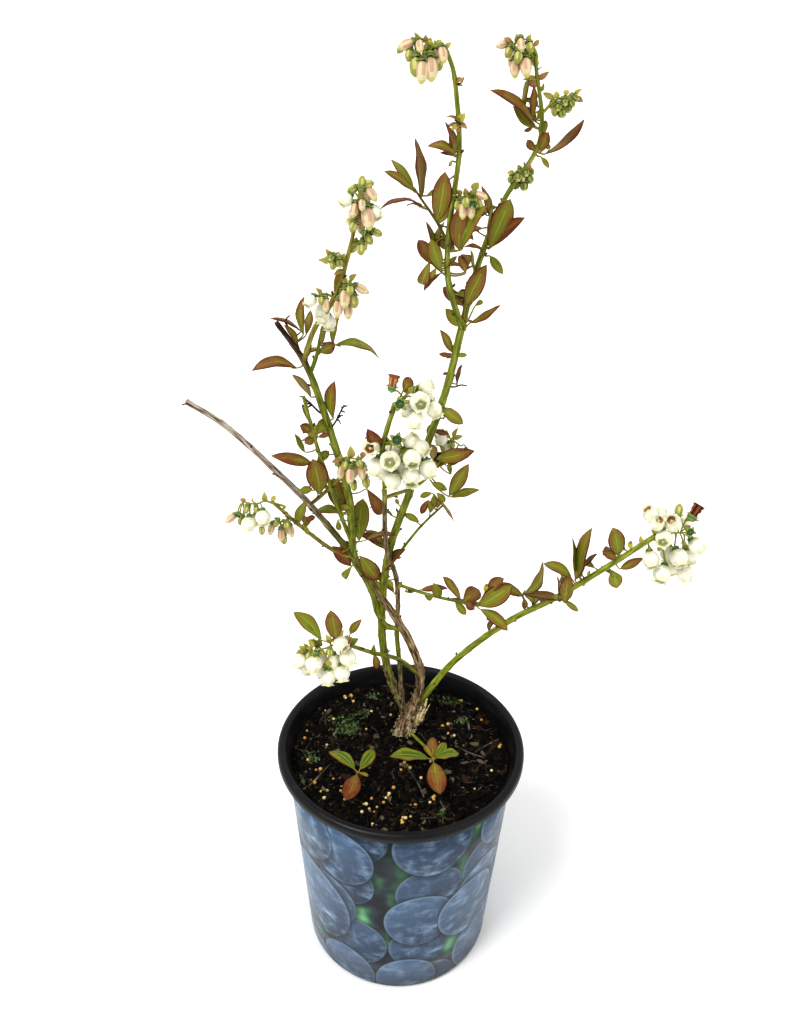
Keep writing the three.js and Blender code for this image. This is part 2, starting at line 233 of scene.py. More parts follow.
# ---------------------------------------------------------------- the pot
# A satin black nursery pot, blown in one piece: a tapering wall, a rolled lip that is hollow
# underneath, and a flat foot with drain holes round a shallow dished middle.
LIP_ROLL = 3 * MM
LIP_SKIRT = 3 * MM
LIP_SKIN = 1.5 * MM
LIP_EDGE = 0.4 * MM
WALL = 1.6 * MM
WALL_FOOT = 64.2 * MM
WALL_SHOULDER = 75.5 * MM
SHOULDER_HEIGHT = 162.5 * MM
FOOT_CHAMFER = 1.5 * MM
FOOT_HOLLOW = 0.9 * MM
FLOOR_THICKNESS = 2 * MM
DRAIN_COUNT, DRAIN_RADIUS, DRAIN_RING = 5, 4.5 * MM, 45 * MM
POT_STEPS = 144
_, pot_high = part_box("pot")
rim_radius, pot_height = pot_high.x, pot_high.z


def wall_radius(height):
    """The pot's outer radius at a height below the lip."""
    return WALL_FOOT + (WALL_SHOULDER - WALL_FOOT) * height / SHOULDER_HEIGHT


def turned(profile, steps, angle=2 * math.pi):
    """A bmesh of a closed or open (radius, height) profile spun about the Z axis."""
    shape = bmesh.new()
    points = [shape.verts.new((radius, 0, height)) for radius, height in profile]
    edges = [shape.edges.new(pair) for pair in zip(points, points[1:])]
    whole = abs(angle - 2 * math.pi) < 1e-6
    bmesh.ops.spin(shape, geom=points + edges, cent=(0, 0, 0), axis=(0, 0, 1), angle=angle,
                   steps=steps, use_merge=whole, use_duplicate=False)
    bmesh.ops.remove_doubles(shape, verts=shape.verts, dist=1e-7)
    bmesh.ops.recalc_face_normals(shape, faces=shape.faces)
    return shape


def arc(centre, radius, start, end, steps):
    """Points round an arc of a profile, from one angle in degrees to another."""
    turns = [math.radians(start + (end - start) * i / steps) for i in range(steps + 1)]
    return [(centre[0] + radius * math.cos(t), centre[1] + radius * math.sin(t)) for t in turns]


def finished_mesh(piece):
    """A new mesh of an object with its modifiers or its sweep applied."""
    bpy.context.view_layer.update()
    live = piece.evaluated_get(bpy.context.evaluated_depsgraph_get())
    return bpy.data.meshes.new_from_object(live)


roll_centre = (rim_radius - LIP_ROLL, pot_height - LIP_ROLL)
skirt_foot = roll_centre[1] - LIP_SKIRT
pot_profile = [
    (0, FOOT_HOLLOW),
    (0.5 * WALL_FOOT, FOOT_HOLLOW),
    (0.55 * WALL_FOOT, 0),
    (WALL_FOOT - 2 * FOOT_CHAMFER, 0),
    *arc((WALL_FOOT - FOOT_CHAMFER, FOOT_CHAMFER), FOOT_CHAMFER, -90, -5, 5),
    *[(wall_radius(share * SHOULDER_HEIGHT), share * SHOULDER_HEIGHT)
      for share in (0.25, 0.5, 0.75, 1)],
    *arc(roll_centre, LIP_ROLL - LIP_SKIN, 155, 0, 8),
    (rim_radius - LIP_SKIN, skirt_foot + 0.3 * MM),
    (rim_radius - LIP_SKIN + LIP_EDGE, skirt_foot),
    (rim_radius - LIP_EDGE, skirt_foot),
    (rim_radius, skirt_foot + LIP_EDGE),
    *arc(roll_centre, LIP_ROLL, 0, 160, 14),
    (wall_radius(SHOULDER_HEIGHT) - LIP_SKIN, SHOULDER_HEIGHT),
    (wall_radius(FLOOR_THICKNESS) - WALL, FLOOR_THICKNESS),
    (0, FLOOR_THICKNESS),
]
pot_plastic = new_material("pot_plastic", (0.007, 0.0075, 0.008), 0.36, specular=0.3)
scuff = grain_noise(pot_plastic, 60, (1, 1, 5), detail=6)
scuff_colours = [(0.35, (0.004, 0.004, 0.005)), (0.62, (0.008, 0.008, 0.009)),
                 (0.78, (0.028, 0.029, 0.032))]
wear(pot_plastic, colour=ramp(pot_plastic, scuff, scuff_colours),
     roughness=ranged(pot_plastic, scuff, 0.30, 0.52),
     height=grain_noise(pot_plastic, 900, detail=2), lift=0.0001, strength=0.25)
pot = shown("nursery_pot", turned(pot_profile, POT_STEPS), [pot_plastic])
drains = []
for hole in range(DRAIN_COUNT):
    turn = 2 * math.pi * (hole + 0.5) / DRAIN_COUNT
    drain = bmesh.new()
    bmesh.ops.create_cone(drain, cap_ends=True, segments=24, radius1=DRAIN_RADIUS,
                          radius2=DRAIN_RADIUS, depth=8 * FLOOR_THICKNESS)
    bmesh.ops.translate(drain, verts=drain.verts,
                        vec=(DRAIN_RING * math.cos(turn), DRAIN_RING * math.sin(turn), 0))
    drains.append(shown(f"drain_{hole}", drain, [pot_plastic]))
    cut = pot.modifiers.new(f"drain_{hole}", "BOOLEAN")
    cut.object = drains[-1]
    cut.solver = "EXACT"
cut_mesh = finished_mesh(pot)
pot.modifiers.clear()
pot.data = cut_mesh
for drain_piece in drains:
    bpy.data.objects.remove(drain_piece)
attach(pot, "root")
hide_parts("pot")

# ---------------------------------------------------------------- the printed film
# A printed film wraps the wall from just above the foot to under the lip and meets in a narrow
# butt seam at the back. Its print is a plain allover pattern of overlapping brushed discs in
# dusty blues, with blurred green patches in the gaps. It carries no lettering.
FILM_STANDOFF = 0.3 * MM
FILM_THICKNESS = 0.5 * MM
FILM_SEAM = 1.2 * MM
FILM_STEPS, FILM_RINGS = 160, 6
PRINT_UNIT = 100  # mm of the film to one unit of its print
film_low, film_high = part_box("printed_wrap")


def film_radius(height, skin):
    """The film's radius at a height: its inner face with skin 0, its outer with skin 1."""
    return wall_radius(height) + FILM_STANDOFF + skin * FILM_THICKNESS


film_heights = [film_low.z + (film_high.z - film_low.z) * i / FILM_RINGS for i in range(FILM_RINGS + 1)]
film_profile = [(film_radius(h, 1), h) for h in film_heights]
film_profile += [(film_radius(h, 0), h) for h in reversed(film_heights)]
film_profile.append(film_profile[0])
film_shape = turned(film_profile, FILM_STEPS, 2 * math.pi - FILM_SEAM / WALL_SHOULDER)
bmesh.ops.holes_fill(film_shape, edges=[e for e in film_shape.edges if e.is_boundary], sides=0)
seam_turn = math.pi / 2 + FILM_SEAM / WALL_SHOULDER / 2
bmesh.ops.rotate(film_shape, verts=film_shape.verts, cent=(0, 0, 0),
                 matrix=Matrix.Rotation(seam_turn, 3, "Z"))
bmesh.ops.recalc_face_normals(film_shape, faces=film_shape.faces)
print_map = film_shape.loops.layers.uv.new("print_map")
for face in film_shape.faces:
    middle = face.calc_center_median()
    around = math.atan2(-middle.x, middle.y) % (2 * math.pi)
    radial = Vector((middle.x, middle.y, 0)).normalized()
    face.material_index = 0 if face.normal.dot(radial) > 0.5 else 1
    for loop in face.loops:
        turn = math.atan2(-loop.vert.co.x, loop.vert.co.y) % (2 * math.pi)
        turn += 2 * math.pi * round((around - turn) / (2 * math.pi))
        loop[print_map].uv = (turn * WALL_SHOULDER / MM / PRINT_UNIT, loop.vert.co.z / MM / PRINT_UNIT)

film_print = new_material("film_print", (0.10, 0.16, 0.24), 0.34, specular=0.25)
film_place = node(film_print, "UVMap", uv_map="print_map").outputs["UV"]


def film_sum(operation, first, second):
    """The output of a math node of the print."""
    return node(film_print, "Math", {0: first, 1: second}, operation=operation).outputs[0]


def film_noise(place, scale, detail, rough=0.5):
    """The output of a noise of the print."""
    inputs = {"Vector": place, "Scale": scale, "Detail": detail, "Roughness": rough}
    return node(film_print, "TexNoise", inputs).outputs[0]


def disc_layer(below, cells, radius, offset, scatter, dark, light, bloom, present):
    """One layer of brushed discs, at most one to a cell, laid over the colour below."""
    moved = node(film_print, "Mapping", {"Vector": film_place, "Location": offset}).outputs[0]
    spread = {"Vector": moved, "Scale": cells, "Randomness": scatter}
    cell = node(film_print, "TexVoronoi", spread, voronoi_dimensions="2D")
    room = node(film_print, "TexVoronoi", spread, voronoi_dimensions="2D", feature="N_SPHERE_RADIUS")
    reach = film_sum("MINIMUM", room.outputs["Radius"], radius)
    distance = film_sum("DIVIDE", cell.outputs["Distance"], reach)
    own = node(film_print, "VectorMath", {0: moved, 1: cell.outputs["Position"]},
               operation="SUBTRACT").outputs[0]
    # Each disc is lit from its upper left.
    slope = node(film_print, "VectorMath", {0: own, 1: (-0.45 * cells, 0.85 * cells, 0)},
                 operation="DOT_PRODUCT").outputs["Value"]
    lit = ranged(film_print, slope, 0, 1, -radius, radius)
    body = shade_between(film_print, lit, (*dark, 1), (*light, 1))
    # Some discs are darker than others, by a value of their cell.
    picked = node(film_print, "SeparateColor", {0: cell.outputs["Color"]})
    dusk = [0.72 * d + 0.1 * l for d, l in zip(dark, light)]
    dark_share = ranged(film_print, picked.outputs[1], 0, 0.55, 0, 1)
    tint = shade_between(film_print, dark_share, body, (*dusk, 1))
    # The bloom is brushed on in slanting streaks and thins out in clouds.
    brushed = node(film_print, "Mapping", {"Vector": own, "Rotation": (0, 0, 0.7), "Scale": (14, 26, 1)})
    streak = ranged(film_print, film_noise(brushed.outputs[0], 0.5, 7, 0.62), 0, 0.85, 0.43, 0.70)
    cloud = ranged(film_print, film_noise(moved, 7, 5), 0.05, 1, 0.42, 0.62)
    veiled = shade_between(film_print, film_sum("MULTIPLY", streak, cloud), tint, (*bloom, 1))
    # A paler rim runs round the lit side, and a soft shadow lies on what is below.
    edge = film_sum("MULTIPLY", ranged(film_print, distance, 0, 1, 0.90, 0.965), lit)
    rim = shade_between(film_print, edge, veiled, (*[0.55 * b for b in bloom], 1))
    inside = ranged(film_print, distance, 1, 0, 0.975, 1)
    chosen = ranged(film_print, picked.outputs[2], 0, 1, 1 - present, 1.02 - present)
    gloom = film_sum("MULTIPLY", ranged(film_print, distance, 0.8, 0, 0.97, 1.2), chosen)
    shaded = shade_between(film_print, gloom, below, (0.006, 0.009, 0.014, 1))
    return shade_between(film_print, film_sum("MULTIPLY", inside, chosen), shaded, rim)


print_colour = ramp(film_print, film_noise(film_place, 3.4, 2), [
    (0.38, (0.012, 0.016, 0.022)), (0.46, (0.030, 0.045, 0.050)), (0.54, (0.05, 0.17, 0.08)),
    (0.70, (0.20, 0.48, 0.25)),
])
# Each layer of discs: cells to a unit of the print, radius, offset, scatter, dark, light and bloom
# colours, and the share of cells that hold a disc.
for layer in (
    (1.8, 0.56, (0.31, 0.12, 0), 0.35,
     (0.012, 0.022, 0.042), (0.085, 0.14, 0.23), (0.25, 0.36, 0.50), 0.95),
    (1.6, 0.52, (0.77, 0.58, 0), 0.45,
     (0.016, 0.030, 0.056), (0.11, 0.18, 0.29), (0.30, 0.42, 0.57), 0.80),
    (1.35, 0.48, (0.15, 0.93, 0), 0.45,
     (0.020, 0.036, 0.066), (0.13, 0.21, 0.33), (0.34, 0.46, 0.60), 0.55),
):
    print_colour = disc_layer(print_colour, *layer)
wear(film_print, colour=print_colour,
     roughness=ranged(film_print, grain_noise(film_print, 45), 0.22, 0.36),
     height=grain_noise(film_print, 25, (1, 1, 0.4)), lift=0.0003, strength=0.12)
film_core = grainy("film_core", (0.62, 0.64, 0.66), 0.5, 200, (0.4, 0.6))
film = shown("printed_film", film_shape, [film_print, film_core])
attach(film, "root")
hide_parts("printed_wrap")

# ---------------------------------------------------------------- the potting mix
# Composted bark and peat, almost black where it is moist, filled to a finger's width below the
# rim. Bark chips, feed beads, moss cushions, pale fibres and bits of twig lie on it.
MIX_HEIGHT = 157 * MM
MIX_SWELL = 1.1 * MM
MIX_GRAIN = 2.2 * MM
MIX_CELLS = 170
MIX_FOOT = 6 * MM
MIX_GAP = 0.25 * MM
MOUND_HEIGHT, MOUND_WIDTH = 1.6 * MM, 16 * MM
mix_radius = wall_radius(MIX_HEIGHT) - WALL - MIX_GAP
crown_foot = Vector((1 * MM, 19 * MM, MIX_HEIGHT))


def mix_surface(x, y):
    """The height of the potting mix at a place: slow swells, lumps, fine crumbs, the crown's mound."""
    wide = math.sin(x / MM / 17 + 1) * math.cos(y / MM / 13) + 0.6 * math.sin((x - y) / MM / 9)
    lumps = noise.noise(Vector((x, y, 0.3)) * 95) + 0.55 * noise.noise(Vector((x, y, 7)) * 260)
    crumbs = abs(noise.noise(Vector((x, y, 3)) * 620)) - 0.2
    mound = math.exp(-((x - crown_foot.x) ** 2 + (y - crown_foot.y) ** 2) / MOUND_WIDTH ** 2)
    rough = MIX_GRAIN * (0.62 * lumps + 0.75 * crumbs)
    return MIX_HEIGHT + MIX_SWELL * wide + rough + MOUND_HEIGHT * mound


mix_shape = bmesh.new()
bmesh.ops.create_grid(mix_shape, x_segments=MIX_CELLS, y_segments=MIX_CELLS, size=1)
for vert in mix_shape.verts:
    x, y = vert.co.x, vert.co.y
    x, y = mix_radius * x * math.sqrt(1 - y * y / 2), mix_radius * y * math.sqrt(1 - x * x / 2)
    vert.co = (x, y, mix_surface(x, y))
skirt = bmesh.ops.extrude_edge_only(mix_shape, edges=[e for e in mix_shape.edges if e.is_boundary])
for vert in skirt["geom"]:
    if isinstance(vert, bmesh.types.BMVert):
        shrink = (wall_radius(MIX_FOOT) - WALL - MIX_GAP) / math.hypot(vert.co.x, vert.co.y)
        vert.co = (vert.co.x * shrink, vert.co.y * shrink, MIX_FOOT)
bmesh.ops.holes_fill(mix_shape, edges=[e for e in mix_shape.edges if e.is_boundary], sides=0)
bmesh.ops.recalc_face_normals(mix_shape, faces=mix_shape.faces)

mix_peat = new_material("mix_peat", (0.005, 0.004, 0.003), 0.9, specular=0.08)
peat_colours = [(0.36, (0.001, 0.001, 0.001)), (0.52, (0.005, 0.004, 0.003)),
                (0.62, (0.022, 0.016, 0.009)), (0.74, (0.14, 0.11, 0.07))]
wear(mix_peat, colour=ramp(mix_peat, grain_noise(mix_peat, 330, detail=8), peat_colours),
     roughness=ranged(mix_peat, grain_noise(mix_peat, 120), 0.55, 0.95),
     height=grain_noise(mix_peat, 1400, detail=6), lift=0.0006, strength=0.8)
mix = shown("potting_mix", mix_shape, [mix_peat])
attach(mix, "root")
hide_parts("soil")

chance = random.Random(11)


def on_mix(x, y, lift=0.0):
    """The point on the potting mix that shows at (x, y) in the picture, kept off the pot's wall."""
    place = at_height(x, y, MIX_HEIGHT).to_2d()
    place /= max(1, place.length / (0.95 * mix_radius))
    return Vector((*place, mix_surface(*place) + lift))


def mix_spot(edge=0.97):
    """A random spot on the potting mix."""
    reach = mix_radius * edge * math.sqrt(chance.random())
    turn = chance.uniform(0, 2 * math.pi)
    x, y = reach * math.cos(turn), reach * math.sin(turn)
    return Vector((x, y, mix_surface(x, y)))


def tumbled(flat):
    """A random turn about Z and a small tilt, as a matrix."""
    tilt = Matrix.Rotation(chance.gauss(0, flat), 4, "X")
    tilt = tilt @ Matrix.Rotation(chance.gauss(0, flat), 4, "Y")
    return Matrix.Rotation(chance.uniform(0, 2 * math.pi), 4, "Z") @ tilt


def toned(tones):
    """The index of one tone of a table of (name, colour, weight), drawn by its weight."""
    return chance.choices(range(len(tones)), [weight for _, _, weight in tones])[0]


def faces_of(verts):
    """The faces of these corners, each once and in the same order in each run."""
    return list(dict.fromkeys(face for vert in verts for face in vert.link_faces))


def painted(verts, index):
    """Gives one material of the piece to the faces of these corners."""
    for face in faces_of(verts):
        face.material_index = index


CHIP_COUNT = 1150
CHIP_JITTER = 0.22  # of a chip's width
CHIP_TONES = (("black", (0.003, 0.002, 0.002), 50), ("brown", (0.014, 0.008, 0.004), 32),
              ("red", (0.040, 0.022, 0.010), 9), ("grey", (0.16, 0.135, 0.09), 9))
chip_barks = [
    grainy(f"bark_chip_{tone}", colour, 0.8, 500, (0.6, 0.95), specular=0.12,
           relief=(900, (1, 1, 3), 5), lift=0.0004, strength=0.7)
    for tone, colour, _ in CHIP_TONES
]
chip_shape = bmesh.new()
for _ in range(CHIP_COUNT):
    length = chance.triangular(1.2, 7.5, 2.4) * MM
    size = (length, length * chance.uniform(0.25, 0.7), length * chance.uniform(0.12, 0.4))
    place = Matrix.Translation(mix_spot()) @ tumbled(0.45) @ Matrix.Diagonal((*size, 1))
    chip = bmesh.ops.create_cube(chip_shape, size=1, matrix=place)["verts"]
    for vert in chip:
        vert.co += Vector([chance.uniform(-CHIP_JITTER, CHIP_JITTER) * size[1] for _ in range(3)])
    painted(chip, toned(CHIP_TONES))
bmesh.ops.recalc_face_normals(chip_shape, faces=chip_shape.faces)
chips = shown("bark_chips", chip_shape, chip_barks, smooth=False)
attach(chips, "root")

# Feed beads: (x, y, how many, spread) of each cluster in the picture's own units.
BEAD_CLUSTERS = (
    (338, 792, 9, 13), (368, 806, 8, 14), (392, 792, 3, 8), (404, 766, 7, 9), (434, 798, 4, 6),
    (351, 699, 5, 8), (466, 697, 4, 10), (305, 739, 1, 1), (454, 738, 1, 2), (500, 746, 2, 3),
    (318, 771, 2, 4), (408, 822, 3, 8), (372, 824, 2, 7), (476, 716, 3, 9),
)
LOOSE_BEADS = 26
BEAD_SUNK = 0.75  # of its radius that a bead's middle stands above the mix
BEAD_TONES = (("tan", (0.62, 0.42, 0.12), 55), ("amber", (0.55, 0.30, 0.05), 25),
              ("pale", (0.72, 0.59, 0.33), 20))
bead_shells = [
    grainy(f"feed_bead_{tone}", colour, 0.4, 700, (0.3, 0.55), relief=(1500,))
    for tone, colour, _ in BEAD_TONES
]
bead_shape = bmesh.new()
bead_places = [
    on_mix(x + chance.gauss(0, spread / 2), y + chance.gauss(0, spread / 2.6))
    for x, y, count, spread in BEAD_CLUSTERS
    for _ in range(count)
]
bead_places += [mix_spot(0.95) for _ in range(LOOSE_BEADS)]
for place in bead_places:
    radius = chance.uniform(0.85, 1.35) * MM
    squash = Matrix.Diagonal((1, chance.uniform(0.88, 1.05), chance.uniform(0.85, 1), 1))
    set_in = Matrix.Translation(place + Vector((0, 0, radius * BEAD_SUNK)))
    bead = bmesh.ops.create_icosphere(bead_shape, subdivisions=2, radius=radius,
                                      matrix=set_in @ squash)["verts"]
    painted(bead, toned(BEAD_TONES))
beads = shown("feed_beads", bead_shape, bead_shells)
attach(beads, "root")

# Moss grows in low cushions of small pointed shoots: (x, y, width, height, shoots).
MOSS_CUSHIONS = (
    (345, 727, 30, 20, 210), (361, 716, 22, 9, 90), (311, 757, 13, 18, 90), (300, 783, 8, 8, 40),
    (452, 702, 30, 9, 70), (372, 697, 14, 7, 40), (441, 815, 8, 14, 34), (463, 722, 20, 8, 40),
    (402, 749, 12, 5, 18),
)
BLADES_PER_SHOOT = 5
MOSS_TONES = (("deep", (0.045, 0.085, 0.026), 30), ("green", (0.14, 0.20, 0.065), 45),
              ("grey", (0.31, 0.36, 0.21), 25))
moss_greens = [
    grainy(f"moss_{tone}", colour, 0.9, 400, (0.75, 0.98), specular=0.2)
    for tone, colour, _ in MOSS_TONES
]
moss_shape = bmesh.new()
for x, y, width, height, shoots in MOSS_CUSHIONS:
    for _ in range(shoots):
        place = on_mix(x + chance.gauss(0, width / 4.2), y + chance.gauss(0, height / 4.2))
        tone = toned(MOSS_TONES)
        for _ in range(BLADES_PER_SHOOT):
            lean = Matrix.Rotation(chance.uniform(*ANY_TURN), 4, "Z")
            lean = lean @ Matrix.Rotation(chance.uniform(0.2, 1.2), 4, "X")
            size = chance.uniform(0.8, 1.9) * MM
            blade = Matrix.Translation(place) @ lean @ Matrix.Translation((0, 0, size / 2))
            leaf = bmesh.ops.create_cone(moss_shape, cap_ends=False, segments=3, radius1=size * 0.3,
                                         radius2=0, depth=size * 1.5, matrix=blade)["verts"]
            painted(leaf, tone)
moss = shown("moss_cushions", moss_shape, moss_greens, smooth=False)
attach(moss, "root")


def new_strands(name, sides=3):
    """An empty bundle of thin tapering strands, each a spline of one round-swept curve."""
    bundle = bpy.data.curves.new(name, "CURVE")
    bundle.dimensions = "3D"
    bundle.bevel_depth = 1.0
    bundle.bevel_resolution = sides - 2
    bundle.use_fill_caps = True
    bundle.twist_mode = "MINIMUM"
    return bundle


def smooth_way(points, step):
    """A centripetal Catmull-Rom line through points, in steps of about this length."""
    ends = [2 * points[0] - points[1], *points, 2 * points[-1] - points[-2]]
    way = []
    for before, start, end, after in zip(ends, ends[1:], ends[2:], ends[3:]):
        first, second, third = (max((b - a).length, 1e-7) ** 0.5 for a, b in
                                ((before, start), (start, end), (end, after)))
        leave = (start - before) / first - (end - before) / (first + second) + (end - start) / second
        arrive = (end - start) / second - (after - start) / (second + third) + (after - end) / third
        leave, arrive = leave * second, arrive * second
        count = max(1, math.ceil((end - start).length / step))
        for i in range(count):
            t = i / count
            way.append(start * (2 * t ** 3 - 3 * t ** 2 + 1) + leave * (t ** 3 - 2 * t ** 2 + t)
                       + end * (3 * t ** 2 - 2 * t ** 3) + arrive * (t ** 3 - t ** 2))
    return [*way, points[-1].copy()]


def strand(bundle, points, thick, thin, step=1.2 * MM):
    """Adds one strand through points, tapering from radius thick to radius thin."""
    way = smooth_way([Vector(p) for p in points], step)
    spline = bundle.splines.new("POLY")
    spline.points.add(len(way) - 1)
    for i, place in enumerate(way):
        spline.points[i].co = (*place, 1)
        spline.points[i].radius = thick + (thin - thick) * i / (len(way) - 1)
    return way


def strands_shown(bundle, name, materials):
    """A bundle of strands as one mesh piece."""
    sweep = bpy.data.objects.new(name + "_sweep", bundle)
    bpy.context.scene.collection.objects.link(sweep)
    mesh = finished_mesh(sweep)
    bpy.data.objects.remove(sweep)
    mesh.name = name
    mesh.materials.clear()
    return as_piece(name, mesh, materials)


# Fibres and bits of twig lie loose on the mix. The longer ones: their way in the picture.
LYING_TWIGS = (
    ((310, 787), (322, 774), (331, 764)), ((475, 751), (489, 744), (501, 739)),
    ((455, 747), (470, 752), (484, 757)), ((408, 770), (418, 783), (424, 797)),
    ((440, 803), (444, 811), (441, 818)), ((420, 820), (428, 819), (436, 818)),
)
FIBRE_COUNT = 260
fibres = new_strands("mix_fibres")
for way in LYING_TWIGS:
    strand(fibres, [on_mix(x, y, 0.7 * MM) for x, y in way], 0.8 * MM, 0.45 * MM, step=2 * MM)
for _ in range(FIBRE_COUNT):
    start = mix_spot(0.93)
    turn, reach = chance.uniform(*ANY_TURN), chance.uniform(2, 8) * MM
    onward = Vector((math.cos(turn), math.sin(turn), 0))
    ends = [start + onward * reach * share for share in (0, 0.5, 1)]
    ends = [Vector((p.x, p.y, mix_surface(p.x, p.y) + chance.uniform(0.1, 0.9) * MM)) for p in ends]
    if math.hypot(ends[2].x, ends[2].y) < mix_radius:
        strand(fibres, ends, chance.uniform(0.12, 0.32) * MM, 0.08 * MM, step=2 * MM)
fibre_bark = new_material("fibre_bark", (0.13, 0.10, 0.065), 0.8)
wear(fibre_bark, colour=ramp(fibre_bark, grain_noise(fibre_bark, 120), [
    (0.38, (0.030, 0.021, 0.013)), (0.52, (0.10, 0.075, 0.05)), (0.66, (0.26, 0.21, 0.14))]))
fibre_bits = strands_shown(fibres, "mix_fibres", [fibre_bark])
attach(fibre_bits, "root")

# ---------------------------------------------------------------- crown and limbs
# Canes rise from one woody crown with shaggy fibrous bark. Old wood is grey brown and ridged,
# young canes are smooth and green, thin twigs are tan, and each has leaf scars up its length.
LIMB_STEP = 1.4 * MM
LIMB_SIDES = 16
# Each limb, in mm: its foot, or its parent and the share of the way along it, then the points
# that it passes to its tip, the radii of its foot and tip, and its bark.
LIMBS = {
    "woody_stem": ((9, 29, 174), (
        (12.3, 30.5, 190), (11.5, 31, 208), (5.4, 30, 227), (-5, 26, 251), (-32, 13, 307),
    ), 3.1, 2.1, "old"),
    "tall_cane": ((2, 28, 171), (
        (-9, 31, 201), (-14, 28, 240), (-10, 15, 306), (3, 3, 359), (20, -11, 425), (26, -16, 459),
    ), 2.8, 1.9, "green"),
    "middle_cane": ((1, 26, 167), (
        (-1.5, 30, 207), (-4, 28, 237), (-3.6, 23, 266), (-5.3, 16.5, 290), (-10.8, 8, 314),
        (-12, -4, 341), (-12, -17, 370), (-13, -32, 399), (-7, -46, 429),
    ), 1.6, 1.25, "banded"),
    "right_cane": ((11, 30, 174), (
        (34, 34, 208), (69, 21, 254), (93, 6, 282), (118, -13, 318), (138, -28, 348),
    ), 2.4, 1.5, "fresh"),
    "dead_twig": (("woody_stem", 1), (
        (-58, 5, 348), (-72, -1, 368), (-98, -12, 402), (-116, -18, 418),
    ), 2.0, 1.4, "dead"),
    "left_cane": (("woody_stem", 0.48), (
        (-10.7, 25.5, 245), (-16.5, 24, 256), (-19.5, 22, 272), (-25, 19, 288), (-30.5, 15, 301),
        (-32, 8, 330), (-33, 2, 353), (-46, -10, 414), (-54, -15, 440), (-68, -10, 459),
    ), 2.3, 1.2, "stub"),
    "left_thin_shoot": (("left_cane", 0.36), (
        (-38, 5, 339), (-50, -11, 394), (-54.5, -18.5, 422),
    ), 1.3, 0.9, "green"),
    "left_flowering_tip": (("left_cane", 0.9), (
        (-48, -21, 458), (-36, -29, 478), (-28, -36, 504), (-22, -41, 531),
    ), 1.4, 0.75, "tan"),
    "left_side_twig": (("left_cane", 0.87), ((-48, -10, 441), (-45, -4, 455)), 1.1, 0.8, "green"),
    "bud_twig": (("dead_twig", 0.32), ((-48, 2, 354), (-32, -6, 375)), 1.2, 0.9, "tan"),
    "left_flower_twig": (("woody_stem", 0.98), (
        (-39.5, 12, 308), (-46.4, 9, 314.5), (-54.7, 4, 325), (-62.8, -4, 338), (-75, -15, 358),
    ), 1.3, 0.9, "tan"),
    "low_flower_twig": (("woody_stem", 0.18), (
        (-2, 23, 219), (-20, 6, 238), (-41, -18, 265),
    ), 1.6, 1.1, "green"),
    "tall_cane_left_fork": (("tall_cane", 1), (
        (18, -24, 485), (17, -28, 507), (20, -33, 545), (18, -33.5, 565), (15.7, -35.5, 577),
        (13, -36, 583),
    ), 1.6, 0.9, "green"),
    "tall_cane_right_fork": (("tall_cane", 0.99), (
        (33, -6, 487), (45, 3, 518), (61, 10, 545), (55, 6, 581),
    ), 1.7, 0.8, "green"),
    "middle_side_twig": (("middle_cane", 0.72), ((8, -9, 368), (22, 2, 380)), 1.1, 0.7, "tan"),
    "thin_green_twig": (("middle_cane", 0.49), ((9, 20, 323), (23, 22, 338)), 1.0, 0.6, "green"),
    "right_thin_shoot": (("middle_cane", 0.42), ((14, 13, 279), (44, -6, 284)), 1.1, 0.8, "green"),
    "right_sucker": ((5, 20, 160), ((13, 9, 160), (22, -5, 162)), 1.2, 0.9, "fresh"),
}
# A cane that ends in a stub stays thick for longest.
TAPER = {"stub": 4}
# It springs from the side of a stem, slimmer there: (share of its girth, length it takes to fill out).
SLIM_FOOT = {"stub": (0.66, 48 * MM)}
# Ridge depth as a share of the radius, swelling at a leaf scar, and the scars' spacing.
RELIEF = {"old": (0.22, 0.14, 16 * MM), "dead": (0.12, 0.30, 19 * MM), "tan": (0.10, 0.24, 13 * MM),
          "banded": (0.12, 0.24, 13 * MM), "green": (0.06, 0.24, 14 * MM),
          "stub": (0.06, 0.26, 14 * MM), "fresh": (0.04, 0.18, 15 * MM)}
SCAR_WIDTH = 1.5 * MM
RIDGE_LENGTH = 9 * MM
GRAIN_STRETCH = 0.13
LEAF_ANGLE = math.radians(137.5)  # from one leaf scar to the next round a limb


def lengths_along(line):
    """The running length at each point of a line."""
    lengths = [0.0]
    for before, after in zip(line, line[1:]):
        lengths.append(lengths[-1] + (after - before).length)
    return lengths


lines = {}
for name, (foot, rest, _, _, _) in LIMBS.items():
    if isinstance(foot[0], str):
        parent = lines[foot[0]]
        lengths = lengths_along(parent)
        reach = foot[1] * lengths[-1]
        start = min(zip(lengths, parent), key=lambda pair: abs(pair[0] - reach))[1]
    else:
        start = Vector(foot) * MM
    lines[name] = smooth_way([start, *(Vector(p) * MM for p in rest)], LIMB_STEP)


def bark_material(kind, stops, roughness, lift, bands=None, second=None):
    """Bark with streaks along the limb. Bands: (height, share of the second set of streaks)."""
    material = new_material(f"{kind}_bark", stops[len(stops) // 2][1], sum(roughness) / 2, specular=0.2)
    streak = grain_noise(material, 900, detail=6, attribute="grain")
    colour = ramp(material, streak, stops)
    if bands:
        place = node(material, "TexCoord").outputs["Object"]
        height = node(material, "SeparateXYZ", {0: place}).outputs["Z"]
        share = ramp(material, height, [(at, (part, part, part)) for at, part in bands])
        colour = shade_between(material, share, colour, ramp(material, streak, second))
    wear(material, colour=colour, roughness=ranged(material, streak, *roughness),
         height=grain_noise(material, 1500, detail=7, attribute="grain"), lift=lift, strength=0.7)
    return material


